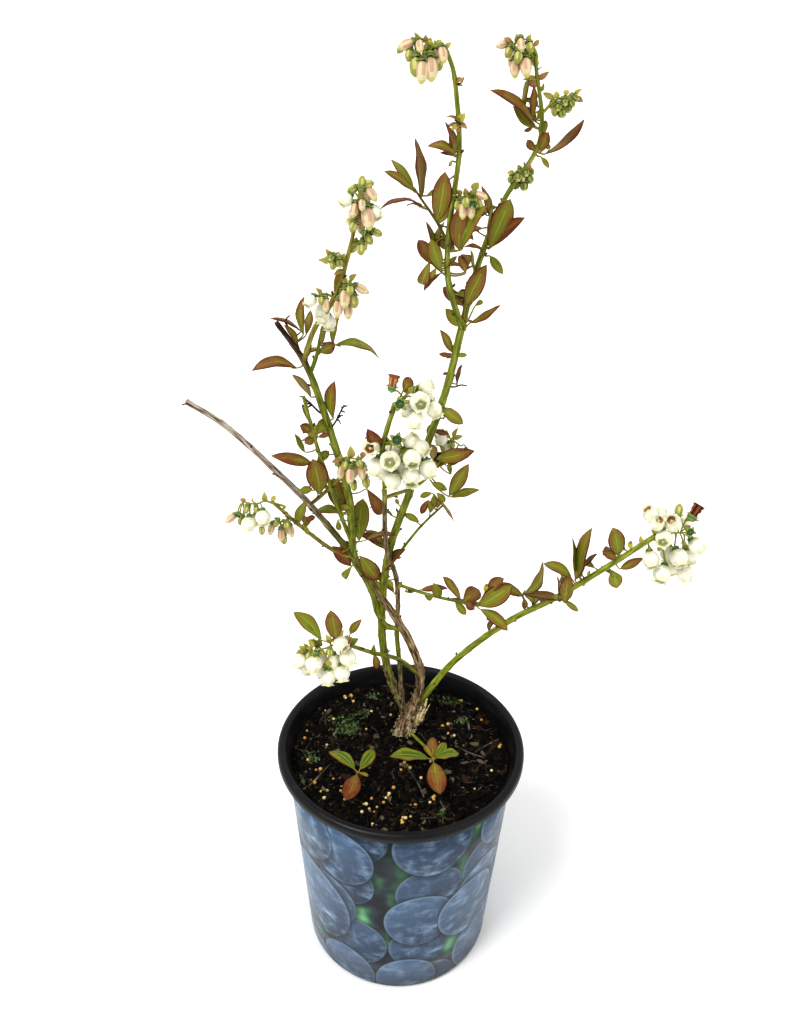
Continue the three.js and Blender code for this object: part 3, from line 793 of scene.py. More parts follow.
# The streaks of each bark, from dark to light: (place on the ramp, colour).
GREEN_STREAKS = [(0.30, (0.070, 0.070, 0.008)), (0.42, (0.140, 0.155, 0.014)),
                 (0.54, (0.205, 0.235, 0.024)), (0.70, (0.34, 0.36, 0.06))]
OLD_STREAKS = [(0.30, (0.022, 0.014, 0.007)), (0.42, (0.12, 0.080, 0.040)),
               (0.54, (0.33, 0.225, 0.12)), (0.72, (0.56, 0.45, 0.29))]
DEAD_STREAKS = [(0.32, (0.06, 0.042, 0.028)), (0.45, (0.26, 0.205, 0.15)), (0.62, (0.54, 0.48, 0.40))]
TAN_STREAKS = [(0.32, (0.085, 0.060, 0.012)), (0.50, (0.235, 0.200, 0.036)), (0.68, (0.38, 0.34, 0.10))]
FRESH_STREAKS = [(0.30, (0.10, 0.11, 0.010)), (0.50, (0.235, 0.270, 0.024)), (0.70, (0.40, 0.43, 0.06))]
BROWN_FOOT = [(0.30, (0.060, 0.045, 0.012)), (0.50, (0.16, 0.125, 0.035)), (0.72, (0.38, 0.30, 0.14))]
DARK_STREAKS = [(0.32, (0.045, 0.027, 0.010)), (0.50, (0.16, 0.110, 0.055)), (0.70, (0.38, 0.29, 0.18))]
DARK_STUB = [(0.35, (0.020, 0.010, 0.005)), (0.55, (0.070, 0.036, 0.018)), (0.75, (0.22, 0.15, 0.09))]
OLIVE_FOOT = [(0.32, (0.050, 0.045, 0.008)), (0.50, (0.130, 0.125, 0.020)), (0.68, (0.26, 0.23, 0.07))]
MIDDLE_BANDS = [(0.200, 1), (0.215, 0), (0.245, 0), (0.262, 1), (0.345, 1), (0.375, 0)]
barks = {kind: bark_material(kind, *finish) for kind, finish in {
    "old": (OLD_STREAKS, (0.65, 0.95), 0.0006, [(0.266, 0), (0.284, 1)], OLIVE_FOOT),
    "dead": (DEAD_STREAKS, (0.6, 0.9), 0.0003, [(0.325, 1), (0.350, 0)], OLIVE_FOOT),
    "tan": (TAN_STREAKS, (0.5, 0.8), 0.0002),
    "banded": (GREEN_STREAKS, (0.5, 0.8), 0.0003, MIDDLE_BANDS, DARK_STREAKS),
    "green": (GREEN_STREAKS, (0.35, 0.6), 0.0002, [(0.165, 1), (0.235, 0)], BROWN_FOOT),
    "stub": (GREEN_STREAKS, (0.4, 0.7), 0.0002, [(0.428, 0), (0.447, 1)], DARK_STUB),
    "fresh": (FRESH_STREAKS, (0.35, 0.55), 0.0001),
}.items()}


def barked(name, line, thick, thin, kind, material, seed):
    """A limb as a round sweep along its line, with ridges, leaf scars and a grain attribute."""
    ridge, scar, spacing = RELIEF[kind]
    lengths = lengths_along(line)

    sweep = new_strands(name, sides=LIMB_SIDES // 2)
    sweep.use_fill_caps = False
    spline = sweep.splines.new("POLY")
    spline.points.add(len(line) - 1)
    slim, rise = SLIM_FOOT.get(kind, (1, 1))
    for i, place in enumerate(line):
        spline.points[i].co = (*place, 1)
        girth = thick + (thin - thick) * (lengths[i] / lengths[-1]) ** TAPER.get(kind, 1)
        spline.points[i].radius = girth * (slim + (1 - slim) * min(1, lengths[i] / rise)) * MM
    piece = strands_shown(sweep, name, [material])
    mesh = piece.data
    sides = len(mesh.vertices) // len(line)
    own_chance = random.Random(seed)
    scars = []
    place = spacing * own_chance.uniform(0.4, 1)
    turn = own_chance.uniform(*ANY_TURN)
    while place < lengths[-1]:
        scars.append((place, turn))
        place += spacing * own_chance.uniform(0.7, 1.3)
        turn += LEAF_ANGLE
    grain = mesh.attributes.new("grain", "FLOAT_VECTOR", "POINT")
    for index, vert in enumerate(mesh.vertices):
        ring, side = divmod(index, sides)
        around = 2 * math.pi * side / sides
        out = vert.co - line[ring]
        radius, length = out.length, lengths[ring]
        spot = Vector((math.cos(around) * 2.3, math.sin(around) * 2.3, length / RIDGE_LENGTH + seed))
        swell = ridge * noise.fractal(spot, 0.8, 2.1, 4)
        for at, facing in scars:
            along = (length - at) / SCAR_WIDTH
            if abs(along) < 3:
                turned_to = 0.35 + 0.65 * max(0, math.cos(around - facing))
                swell += scar * math.exp(-along * along) * turned_to
        vert.co = line[ring] + out * (1 + swell)
        grain.data[index].vector = (math.cos(around) * radius, math.sin(around) * radius,
                                    length * GRAIN_STRETCH + seed)
    marks = []
    for at, facing in scars:
        ring = min(range(len(line)), key=lambda i: abs(lengths[i] - at))
        place = mesh.vertices[ring * sides + round(facing / (2 * math.pi) * sides) % sides].co
        onward = line[min(ring + 1, len(line) - 1)] - line[ring - 1]
        marks.append((place.copy(), (place - line[ring]).normalized(), onward.normalized()))
    shape = bmesh.new()
    shape.from_mesh(mesh)
    bmesh.ops.holes_fill(shape, edges=[e for e in shape.edges if e.is_boundary], sides=0)
    bmesh.ops.recalc_face_normals(shape, faces=shape.faces)
    shape.to_mesh(mesh)
    shape.free()
    mesh.polygons.foreach_set("use_smooth", [True] * len(mesh.polygons))
    return piece, marks


JOINED_LIMBS = {name for name, limb in LIMBS.items() if isinstance(limb[0][0], str)} | {"right_sucker"}
CROWN_HEART = Vector((3, 24, 161)) * MM
scar_marks = []
for seed, (name, (_, _, thick, thin, kind)) in enumerate(LIMBS.items()):
    sunk = []
    if name not in JOINED_LIMBS:
        sunk = [CROWN_HEART.lerp(lines[name][0], i / 6) for i in range(6)]
    limb, marks = barked(name + "_bark", sunk + lines[name], thick, thin, kind, barks[kind], seed)
    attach(limb, "root")
    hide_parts(name)
    scar_marks += marks

CROWN_WAY = ((0, 19, 152), (2, 21.5, 159), (6.5, 26, 168), (9, 28.5, 176))
CROWN_FOOT_RADIUS, CROWN_TOP_RADIUS = 7.4, 4.0
CROWN_SEED = 40
crown_line = smooth_way([Vector(p) * MM for p in CROWN_WAY], 0.8 * MM)
crown_piece, _ = barked("woody_crown", crown_line, CROWN_FOOT_RADIUS, CROWN_TOP_RADIUS, "old",
                        barks["old"], CROWN_SEED)
for vert in crown_piece.data.vertices:
    lobe = noise.noise(Vector(vert.co) * 170) + 0.5 * noise.noise(Vector(vert.co) * 520)
    centre = min(crown_line, key=lambda p: (p - vert.co).length)
    vert.co += (vert.co - centre) * 0.28 * lobe
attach(crown_piece, "root")
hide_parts("crown")

# Strips of loose bark cling to the crown and to the feet of the canes.
CROWN_STRIPS = 210
CANE_STRIPS = 26
shaggy = new_strands("crown_strips")
for _ in range(CROWN_STRIPS):
    low = chance.uniform(0, 0.85)
    turn = chance.uniform(*ANY_TURN)
    tail = low + chance.uniform(0.15, 0.5)
    way = []
    for i in range(5):
        share = min(0.999, low + (tail - low) * i / 4)
        at = crown_line[int(share * (len(crown_line) - 1))]
        loose = 1.7 if i in (0, 4) else 0.8
        radius = (7.9 - 3.4 * share) * MM + chance.uniform(-0.6, 1.2) * MM * loose
        way.append(at + Vector((math.cos(turn), math.sin(turn), 0)) * radius)
        turn += chance.uniform(-0.14, 0.14)
    strand(shaggy, way, chance.uniform(0.25, 0.85) * MM, 0.12 * MM)
for name in ("woody_stem", "tall_cane", "middle_cane"):
    for _ in range(CANE_STRIPS):
        first = chance.randrange(0, 26)
        piece_line = lines[name][first:first + chance.randrange(6, 14)]
        turn = chance.uniform(*ANY_TURN)
        outward = Vector((math.cos(turn), math.sin(turn), 0))
        girth = LIMBS[name][2] * 1.02 * MM
        way = [p + outward * (girth + chance.uniform(-0.1, 0.5) * MM) for p in piece_line[::3]]
        if len(way) > 1:
            strand(shaggy, way, chance.uniform(0.2, 0.4) * MM, 0.08 * MM)
strip_bark = new_material("strip_bark", (0.25, 0.20, 0.12), 0.85, specular=0.2)
wear(strip_bark, colour=ramp(strip_bark, grain_noise(strip_bark, 260), [
    (0.36, (0.045, 0.030, 0.013)), (0.47, (0.24, 0.185, 0.10)), (0.62, (0.60, 0.52, 0.34))]))
strips = strands_shown(shaggy, "crown_strips", [strip_bark])
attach(strips, "root")

# A stub beside the crown is torn to pale splinters: their way in the picture and their radii.
TORN_STUB = (
    ((417, 724), (423, 712), (427, 699), 1.5, 0.6), ((421, 721), (426, 711), (430, 704), 0.9, 0.3),
    ((415, 722), (419, 713), (424, 703), 1.1, 0.4), ((413, 726), (418, 717), (424, 709), 0.6, 0.3),
)
STUB_DEPTH = 22 * MM
torn = new_strands("torn_stub", sides=6)
for *way, thick, thin in TORN_STUB:
    strand(torn, [at_depth(x, y, STUB_DEPTH) for x, y in way], thick * MM, thin * MM)
torn_wood = new_material("torn_wood", (0.55, 0.45, 0.23), 0.8, specular=0.2)
wear(torn_wood, colour=ramp(torn_wood, grain_noise(torn_wood, 500), [
    (0.38, (0.24, 0.17, 0.07)), (0.48, (0.62, 0.51, 0.25)), (0.60, (0.86, 0.78, 0.50))]))
torn_piece = strands_shown(torn, "torn_stub", [torn_wood])
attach(torn_piece, "root")

# A small dark bud sits over most leaf scars, leaning out from the limb.
BARE_SCARS = 0.25
bud_scale = grainy("bud_scale", (0.085, 0.040, 0.014), 0.6, 900, (0.5, 0.75), specular=0.25)
scar_buds = bmesh.new()
for place, outward, onward in scar_marks:
    if chance.random() < BARE_SCARS:
        continue
    lean = (onward + 0.75 * outward).normalized()
    size = chance.uniform(0.55, 1.0) * MM
    stand = Matrix.Translation(place + lean * size) @ lean.to_track_quat("Z", "Y").to_matrix().to_4x4()
    bmesh.ops.create_icosphere(scar_buds, subdivisions=1, radius=size,
                               matrix=stand @ Matrix.Diagonal((0.72, 0.72, 1.5, 1)))
axillary_buds = shown("axillary_buds", scar_buds, [bud_scale])
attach(axillary_buds, "root")

# ---------------------------------------------------------------- leaves
# Young leaves stand singly on short stalks, alternately up the canes, thickest round the
# joints. They are green, olive, bronze or maroon, mostly redder at the tip and the margin.
LEAF_THICKNESS = 0.3 * MM
LEAF_ROWS = 10
LEAF_COLUMNS = (-1, -0.86, -0.46, -0.055, 0.055, 0.46, 0.86, 1)
# The scale of leaf colours, from fresh to maroon, above and below, then ribs and yellow scales.
LEAF_SCALE = (
    ((0.092, 0.145, 0.012), (0.150, 0.190, 0.050)), ((0.205, 0.245, 0.018), (0.240, 0.260, 0.060)),
    ((0.225, 0.195, 0.020), (0.250, 0.215, 0.055)), ((0.225, 0.130, 0.025), (0.250, 0.170, 0.055)),
    ((0.185, 0.062, 0.016), (0.195, 0.085, 0.040)), ((0.105, 0.022, 0.008), (0.125, 0.042, 0.022)),
)
LEAF_EXTRAS = (
    ((0.310, 0.330, 0.065), (0.330, 0.330, 0.130)), ((0.280, 0.155, 0.050), (0.290, 0.180, 0.090)),
    ((0.460, 0.440, 0.045), (0.420, 0.400, 0.090)),
)
SCALE_STEPS = 11
RIB, RED_RIB, YELLOW = range(SCALE_STEPS, SCALE_STEPS + 3)
# Of each tone: the place on the scale of colours, the gain at the tip, and at the margin.
# g is green, o olive, b bronze, m maroon, e green with a red edge, r green with a red tip, u a leaf
# seen from below, s a sucker's leaf and y a yellow scale.
LEAF_TONES = {"g": (0.7, 1.0, 2.4), "o": (1.7, 1.2, 2.3), "b": (2.3, 1.2, 2.2), "m": (3.2, 0.9, 1.4),
              "e": (1.0, 1.0, 4.0), "r": (0.9, 2.9, 3.0), "u": (2.4, 0.7, 1.6), "s": (-0.7, 1.6, 3.6),
              "y": (8, 0, 0)}


def leaf_material(name, colour, roughness):
    """One leaf colour, with side veins and a fine grain in its relief."""
    material = new_material(name, colour, roughness, specular=0.22)
    place = node(material, "UVMap", uv_map="blade").outputs["UV"]
    halves = node(material, "VectorMath", {0: place}, operation="ABSOLUTE").outputs[0]
    slanted = node(material, "Mapping", {"Vector": halves, "Rotation": (0, 0, -0.75)}).outputs[0]
    inputs = {"Vector": slanted, "Scale": 1.4, "Distortion": 1.2, "Detail": 2}
    veins = node(material, "TexWave", inputs, bands_direction="Y").outputs["Fac"]
    rough = ranged(material, grain_noise(material, 180), roughness - 0.08, roughness + 0.12)
    wear(material, roughness=rough, height=veins, lift=0.00012, strength=0.35)
    return material


leaf_materials = []
for side, roughness in enumerate((0.46, 0.62)):
    for step in range(SCALE_STEPS):
        low, share = divmod(step / 2, 1)
        pair = LEAF_SCALE[int(low)][side], LEAF_SCALE[min(len(LEAF_SCALE) - 1, int(low) + 1)][side]
        colour = [a + (b - a) * share for a, b in zip(*pair)]
        leaf_materials.append(leaf_material(f"leaf_{side}_{step}", colour, roughness))
    for step, colours in enumerate(LEAF_EXTRAS):
        leaf_materials.append(leaf_material(f"leaf_{side}_extra_{step}", colours[side], roughness))
STALK_THICK, STALK_THIN, STALK_STEP = 0.5 * MM, 0.3 * MM, 0.8 * MM
grown = random.Random(5)
stalks = new_strands("leaf_stalks", sides=4)
near_leaves = []


def leaf_outline(share, belly, full):
    """A leaf's half width up its length: belly over 1 is widest high up, full under 1 is rounder."""
    return max(0.025, math.sin(math.pi * share ** belly) ** full)


def add_leaf(shape, foot, tip, broad, facing, arch, tone):
    """One leaf from foot to tip: a grid with a folded rib, a curved length and wavy margins."""
    along = tip - foot
    length = along.length
    run = along / length
    facing = (facing - run * facing.dot(run)).normalized()
    side = run.cross(facing)
    fold = grown.uniform(0.12, 0.34)
    curl = grown.uniform(0.10, 0.30)
    wave, phase = grown.uniform(0.03, 0.12), grown.uniform(*ANY_TURN)
    twist = grown.gauss(0, 0.16)
    bow = grown.gauss(0, 0.035) * length
    base, tip_gain, margin_gain = LEAF_TONES[tone]
    patch = grown.uniform(0, 50)
    stout = min(1, max(0, (broad / length - 0.28) / 0.18))
    belly = 0.95 + 0.35 * stout + grown.uniform(-0.06, 0.06)
    full = 0.86 - 0.24 * stout
    uv_map = shape.loops.layers.uv.verify()
    blade = bmesh.ops.create_grid(shape, x_segments=len(LEAF_COLUMNS) - 1, y_segments=LEAF_ROWS,
                                  size=1)["verts"]
    spots = {}
    for vert in blade:
        column = LEAF_COLUMNS[round((vert.co.x + 1) / 2 * (len(LEAF_COLUMNS) - 1))]
        share = (vert.co.y + 1) / 2
        half = broad / 2 * leaf_outline(share, belly, full)
        turn = twist * share
        out = side * math.cos(turn) + facing * math.sin(turn)
        lift = facing * math.cos(turn) - side * math.sin(turn)
        ripple = wave * math.sin(12 * share + phase + column)
        rise = fold * abs(column) - curl * column ** 4 + ripple * column ** 2
        middle = foot + along * share + facing * (arch * length * 4 * share * (1 - share))
        middle += side * (bow * 4 * share * (1 - share)) - facing * (0.05 * length * share ** 4)
        vert.co = middle + out * (half * column) + lift * (half * rise)
        spots[vert] = (column * half / MM / 10, share * length / MM / 10, column, share)
    for face in faces_of(blade):
        column = sum(spots[v][2] for v in face.verts) / 4
        share = sum(spots[v][3] for v in face.verts) / 4
        blotch = noise.noise(Vector((column * 1.2 + patch, share * 3.5, patch)))
        blotch *= 0.4 if tone == "s" else 0.7
        margin = 1 if abs(column) > 0.88 else 0.28 if abs(column) > 0.6 else 0
        level = base + tip_gain * share ** 2 + margin_gain * margin + 0.35 * abs(column) + blotch
        if tone == "y":
            index = YELLOW if share < 0.75 else 4
        elif abs(column) < 0.05 and share < 0.85:
            index = RIB if level < 2.5 else RED_RIB
        else:
            index = max(0, min(SCALE_STEPS - 1, round(2 * level + grown.uniform(-0.4, 0.4))))
        face.material_index = index
        for loop in face.loops:
            loop[uv_map].uv = spots[loop.vert][:2]


def limb_point(limb, x, y):
    """The point of a limb's line that shows nearest to (x, y) in the picture."""
    spot = Vector((x, y))
    return min(lines[limb], key=lambda p: (in_picture(p) - spot).length)


def real_width(place, seen_width):
    """The width in metres that shows as this width in the picture at a place."""
    per_mm = (in_picture(place + level * MM) - in_picture(place)).length
    return seen_width / per_mm * MM


def leaf_stalk(*points):
    """A thin stalk through points, into the foot of a leaf."""
    strand(stalks, points, STALK_THICK, STALK_THIN, step=STALK_STEP)


def grow_leaf(shape, limb, foot_spot, tip_spot, seen_width, tone, arch):
    """A leaf at its place in the picture, on a stalk from its limb, turned for its seen width."""
    joint = limb_point(limb, *foot_spot)
    foot = at_depth(*foot_spot, joint.y + grown.uniform(-1.5, 0.5) * MM)
    flat_tip = at_depth(*tip_spot, foot.y)
    seen = real_width(foot, seen_width)
    length = (flat_tip - foot).length
    broad = max(seen, 0.36 * length)
    real_length = max(length * grown.uniform(1.02, 1.12), 1.9 * broad)
    reach = min(math.sqrt(real_length ** 2 - length ** 2), 15 * MM) * grown.choice((-1, -1, 1))
    tip = at_depth(*tip_spot, foot.y + reach)
    near_leaves.append((foot, tip, seen_width / 2))
    run = (tip - foot).normalized()
    towards = (CAMERA_PLACE - foot).normalized()
    towards = (towards - run * towards.dot(run)).normalized()
    side = run.cross(towards)
    turn = math.acos(min(1, seen / broad))
    choices = [towards * math.cos(turn) + side * math.sin(turn),
               towards * math.cos(turn) - side * math.sin(turn)]
    if tone == "u":
        choices = [-choice for choice in choices]
    add_leaf(shape, foot, tip, broad, max(choices, key=lambda n: n.z), arch, tone)
    middle = joint.lerp(foot, 0.5) - Vector((0, 0, 0.1)) * (foot - joint).length
    leaf_stalk(joint, middle, foot, foot.lerp(tip, 0.12))


def grow_leaves(shape, table):
    """The leaves of a table: of each limb the rows (foot x, y, tip x, y, seen width, tone, arch)."""
    for limb, rows in table:
        for x, y, tip_x, tip_y, seen_width, tone, arch in rows:
            grow_leaf(shape, limb, (x, y), (tip_x, tip_y), seen_width, tone, arch)


# Twigs too thin to stand in the frame: (new line, its limb, radii, way in the picture).
FINE_TWIGS = (
    ("left_spray", "tall_cane_left_fork", 0.8, 0.45, ((447, 241), (437, 222), (422, 200), (414, 188))),
    ("low_spray", "low_flower_twig", 0.7, 0.4, ((336, 645), (332, 640), (326, 638))),
)
fine_twigs = new_strands("fine_twigs", sides=6)
for name, limb, thick, thin, way in FINE_TWIGS:
    start = limb_point(limb, *way[0])
    drift = grown.uniform(-3, 3) * MM
    places = [at_depth(*spot, start.y + drift * i / len(way)) for i, spot in enumerate(way)]
    lines[name] = strand(fine_twigs, [start, *places], thick * MM, thin * MM)

# Dead twigs end in small claws: (its limb, radii, way in the picture, claws).
DRY_TWIGS = (
    ("left_cane", 0.85, 0.45, ((299, 352), (294, 337), (285, 322)), 1),
    ("woody_stem", 0.9, 0.7, ((416, 687), (410, 686), (405, 684)), 0),
    ("left_cane", 0.55, 0.4, ((331, 428), (336, 421), (341, 411), (344, 406)), 6),
    ("left_cane", 0.6, 0.4, ((321, 413), (309, 402), (303, 397)), 4),
    ("tall_cane", 0.5, 0.35, ((454, 387), (461, 385), (467, 386)), 1),
    ("tall_cane_left_fork", 0.4, 0.2, ((459, 84), (462, 82), (464, 77)), 0),
    ("tall_cane_left_fork", 0.45, 0.35, ((455, 120), (459, 123), (461, 127)), 1),
)
dry_bits = new_strands("dry_twigs", sides=4)
for limb, thick, thin, way, claws in DRY_TWIGS:
    start = limb_point(limb, *way[0])
    places = [at_depth(*spot, start.y - 1 * MM) for spot in way]
    twig = strand(dry_bits, [start, *places], thick * MM, thin * MM)
    for _ in range(claws):
        foot = twig[grown.randrange(len(twig) // 2, len(twig))]
        reach = Vector([grown.gauss(0, 1) for _ in range(3)]).normalized() * grown.uniform(2, 4.5) * MM
        bent = foot + 0.5 * reach + Vector([grown.gauss(0, 0.5) * MM for _ in range(3)])
        strand(dry_bits, [foot, bent, foot + reach], grown.uniform(0.4, 0.75) * MM, 0.25 * MM,
               step=STALK_STEP)
dry_bark = grainy("dry_bark", (0.055, 0.030, 0.014), 0.85, 700, (0.7, 0.95), specular=0.15,
                  relief=(1500,), strength=0.5)
dry_piece = strands_shown(dry_bits, "dry_twigs", [dry_bark])
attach(dry_piece, "root")

# Leaves by limb: foot and tip in the picture, seen width there, tone, and arch as a share of the length.
FORK_LEFT, FORK_RIGHT, TALL = "tall_cane_left_fork", "tall_cane_right_fork", "tall_cane"
TALL_CANE_LEAVES = (
    (FORK_LEFT, (
        (456, 156, 428, 145, 8, "o", 0.25), (455, 155, 451, 128, 9, "u", 0.05),
        (453, 150, 447, 122, 4, "m", 0.05), (452, 161, 449, 166, 4, "y", 0),
    )),
    ("left_spray", (
        (421, 199, 418, 138, 10, "b", 0.03), (414, 189, 392, 158, 9, "g", 0.08),
        (415, 192, 386, 170, 6, "o", 0.05), (424, 207, 381, 206, 5, "m", 0.14),
        (437, 222, 445, 173, 20, "o", 0.02), (438, 224, 448, 203, 9, "o", 0),
    )),
    (FORK_LEFT, (
        (437, 258, 428, 221, 5, "o", 0.03), (432, 258, 443, 221, 9, "g", 0.03),
        (436, 266, 418, 240, 14, "b", 0.1), (441, 270, 431, 240, 14, "g", 0.02),
        (430, 261, 422, 285, 12, "o", 0.4), (436, 268, 428, 280, 6, "o", 0.25),
        (441, 273, 423, 290, 5, "m", 0.1), (446, 265, 457, 256, 5, "g", 0),
        (455, 250, 437, 238, 13, "u", 0.05), (459, 250, 463, 208, 22, "b", 0.03),
        (461, 250, 485, 206, 14, "g", 0.1), (465, 272, 466, 254, 12, "u", 0.25),
        (466, 273, 459, 256, 8, "b", 0), (446, 268, 462, 266, 3, "m", 0.2),
    )),
    (FORK_RIGHT, (
        (474, 270, 472, 250, 3, "g", 0), (491, 221, 483, 185, 8, "b", 0.05),
        (489, 249, 510, 200, 22, "e", 0.02), (490, 248, 523, 217, 12, "m", 0.04),
        (490, 256, 503, 274, 9, "g", 0.3), (484, 251, 464, 246, 3, "m", 0.15),
        (487, 240, 492, 205, 3, "g", 0), (545, 154, 583, 117, 8, "b", -0.1),
        (541, 152, 548, 133, 12, "b", 0), (541, 138, 546, 120, 9, "g", 0), (536, 151, 527, 140, 8, "b", 0),
        (541, 157, 549, 168, 5, "g", 0.1), (535, 127, 493, 88, 8, "b", 0.1),
        (536, 127, 514, 106, 10, "g", 0.05), (522, 112, 527, 78, 5, "g", 0),
        (533, 118, 535, 86, 8, "b", 0), (533, 127, 524, 131, 4, "m", 0), (537, 120, 540, 108, 4, "g", 0),
    )),
    (TALL, (
        (466, 306, 486, 266, 18, "o", 0.03), (463, 306, 443, 287, 12, "b", 0.08),
        (467, 326, 446, 309, 12, "g", 0.05), (475, 306, 483, 301, 5, "g", 0.4),
        (470, 323, 499, 304, 7, "b", -0.05), (466, 330, 459, 318, 8, "u", 0),
        (452, 352, 441, 330, 8, "o", 0.05), (452, 355, 439, 354, 5, "m", 0),
        (456, 355, 467, 355, 5, "g", 0.15), (457, 384, 461, 364, 4, "m", 0),
        (441, 407, 463, 424, 12, "g", 0.28), (448, 373, 443, 374, 3, "m", 0),
        (403, 514, 419, 522, 7, "g", 0.1), (399, 505, 396, 499, 4, "g", 0),
    )),
)
LEFT, SIDE_TWIG, THIN_SHOOT = "left_cane", "left_side_twig", "left_thin_shoot"
LEFT_CANE_LEAVES = (
    (LEFT, (
        (333, 419, 333, 382, 10, "r", 0.03), (297, 368, 252, 369, 11, "b", 0.18),
        (311, 397, 293, 373, 7, "u", 0.05), (301, 331, 271, 317, 4, "m", 0.1),
        (298, 345, 285, 325, 7, "o", 0.05), (303, 335, 302, 298, 8, "r", 0.03),
        (306, 335, 310, 310, 8, "o", 0.03), (303, 361, 311, 345, 6, "b", 0),
        (342, 512, 333, 478, 18, "o", 0.05), (299, 491, 312, 489, 8, "g", 0.1),
        (359, 541, 363, 499, 19, "g", 0.03), (367, 489, 383, 515, 14, "m", 0.28),
        (354, 520, 348, 500, 8, "g", 0.05), (358, 542, 333, 555, 9, "g", 0.12),
        (366, 540, 396, 534, 8, "b", 0.12), (343, 514, 311, 513, 8, "g", 0.1),
        (338, 520, 339, 531, 6, "g", 0.1), (341, 505, 350, 508, 6, "g", 0),
    )),
    ("left_flowering_tip", (
        (334, 291, 343, 269, 11, "o", 0.02),
    )),
    (SIDE_TWIG, (
        (319, 352, 334, 344, 12, "r", 0.02), (321, 345, 324, 323, 5, "g", 0),
        (333, 346, 338, 314, 6, "g", 0.08), (335, 345, 380, 356, 7, "g", 0.15),
    )),
    (THIN_SHOOT, (
        (314, 429, 303, 405, 4, "g", 0), (317, 433, 327, 419, 12, "g", 0.03),
        (311, 432, 301, 426, 10, "b", 0), (313, 438, 305, 443, 9, "o", 0.1),
        (318, 437, 330, 434, 5, "m", 0.05), (305, 452, 296, 434, 5, "g", 0),
        (317, 462, 329, 451, 9, "g", 0.05), (312, 463, 272, 455, 13, "b", 0.09),
        (320, 494, 313, 461, 22, "o", 0.03),
    )),
    ("left_flower_twig", (
        (297, 523, 306, 501, 10, "g", 0.05), (305, 521, 315, 517, 6, "m", 0),
        (304, 524, 309, 535, 5, "g", 0.1),
    )),
)
WOODY, MIDDLE = "woody_stem", "middle_cane"
MIDDLE_TWIG, THIN_TWIG = "middle_side_twig", "thin_green_twig"
MIDDLE_LEAVES = (
    (LEFT, (
        (351, 566, 333, 547, 13, "m", 0.08),
    )),
    (WOODY, (
        (352, 566, 344, 578, 8, "g", 0.3), (360, 556, 379, 581, 17, "r", 0.05),
        (376, 580, 381, 592, 8, "o", 0.1),
    )),
    (MIDDLE, (
        (384, 571, 404, 549, 8, "b", 0.03), (388, 580, 393, 587, 5, "g", 0),
        (402, 582, 398, 589, 4, "g", 0), (377, 448, 368, 430, 14, "m", 0.18),
        (403, 391, 411, 377, 12, "b", 0.02),
    )),
    (TALL, (
        (430, 440, 430, 425, 7, "b", 0),
    )),
    (MIDDLE_TWIG, (
        (437, 458, 474, 451, 15, "r", 0.26), (434, 430, 449, 434, 6, "m", 0.25),
        (433, 460, 430, 443, 10, "u", 0), (448, 466, 461, 457, 6, "g", 0), (451, 474, 449, 463, 5, "g", 0),
        (449, 496, 468, 465, 14, "e", 0.02), (450, 497, 479, 489, 8, "g", 0.08),
        (447, 490, 432, 483, 8, "g", 0.05),
    )),
    (THIN_TWIG, (
        (432, 493, 420, 497, 6, "g", 0), (434, 494, 434, 509, 7, "g", 0.1),
        (437, 493, 445, 502, 7, "g", 0.05), (428, 500, 421, 514, 7, "m", 0.1),
        (438, 497, 455, 520, 4, "g", 0),
    )),
)
RIGHT, RIGHT_SHOOT = "right_cane", "right_thin_shoot"
RIGHT_CANE_LEAVES = (
    (RIGHT_SHOOT, (
        (405, 592, 415, 591, 4, "g", 0.1), (424, 594, 433, 599, 7, "g", 0.1),
        (440, 598, 434, 584, 10, "g", 0.03), (461, 600, 444, 576, 8, "o", 0.03),
        (455, 600, 466, 615, 8, "g", 0.05), (463, 602, 480, 589, 17, "b", 0.05),
        (466, 603, 474, 609, 9, "m", 0.05), (485, 592, 487, 584, 5, "y", 0),
        (479, 606, 511, 586, 20, "e", 0.04), (487, 592, 503, 579, 12, "b", 0),
        (480, 609, 508, 630, 13, "e", 0.05),
    )),
    (RIGHT, (
        (523, 596, 496, 583, 10, "b", 0.04), (523, 594, 540, 562, 8, "e", -0.15),
        (522, 594, 563, 599, 9, "b", 0.07), (524, 598, 524, 610, 6, "m", 0),
        (572, 579, 544, 563, 11, "e", 0.12), (560, 602, 559, 577, 5, "r", 0),
        (565, 603, 569, 575, 14, "o", 0.03), (564, 600, 579, 611, 6, "g", 0),
        (575, 580, 588, 529, 13, "e", 0.02), (576, 572, 575, 538, 4, "g", 0),
        (580, 570, 596, 553, 4, "m", 0), (588, 577, 590, 571, 3, "y", 0), (584, 586, 586, 580, 3, "y", 0),
        (618, 556, 613, 529, 17, "e", 0.04), (617, 560, 603, 552, 9, "b", 0),
        (618, 552, 622, 543, 6, "y", 0), (631, 550, 631, 541, 5, "y", 0),
        (612, 571, 617, 588, 14, "g", 0.06), (620, 569, 643, 558, 9, "b", 0.05),
        (608, 572, 601, 566, 4, "m", 0),
    )),
)
LOW = "low_flower_twig"
LOW_LEAVES = (
    (LOW, (
        (321, 640, 294, 611, 14, "g", 0.04), (336, 638, 331, 612, 17, "o", 0.04),
        (350, 634, 361, 620, 8, "o", 0.05), (374, 654, 377, 669, 8, "b", 0.1),
        (373, 655, 374, 645, 5, "g", 0.05),
    )),
)
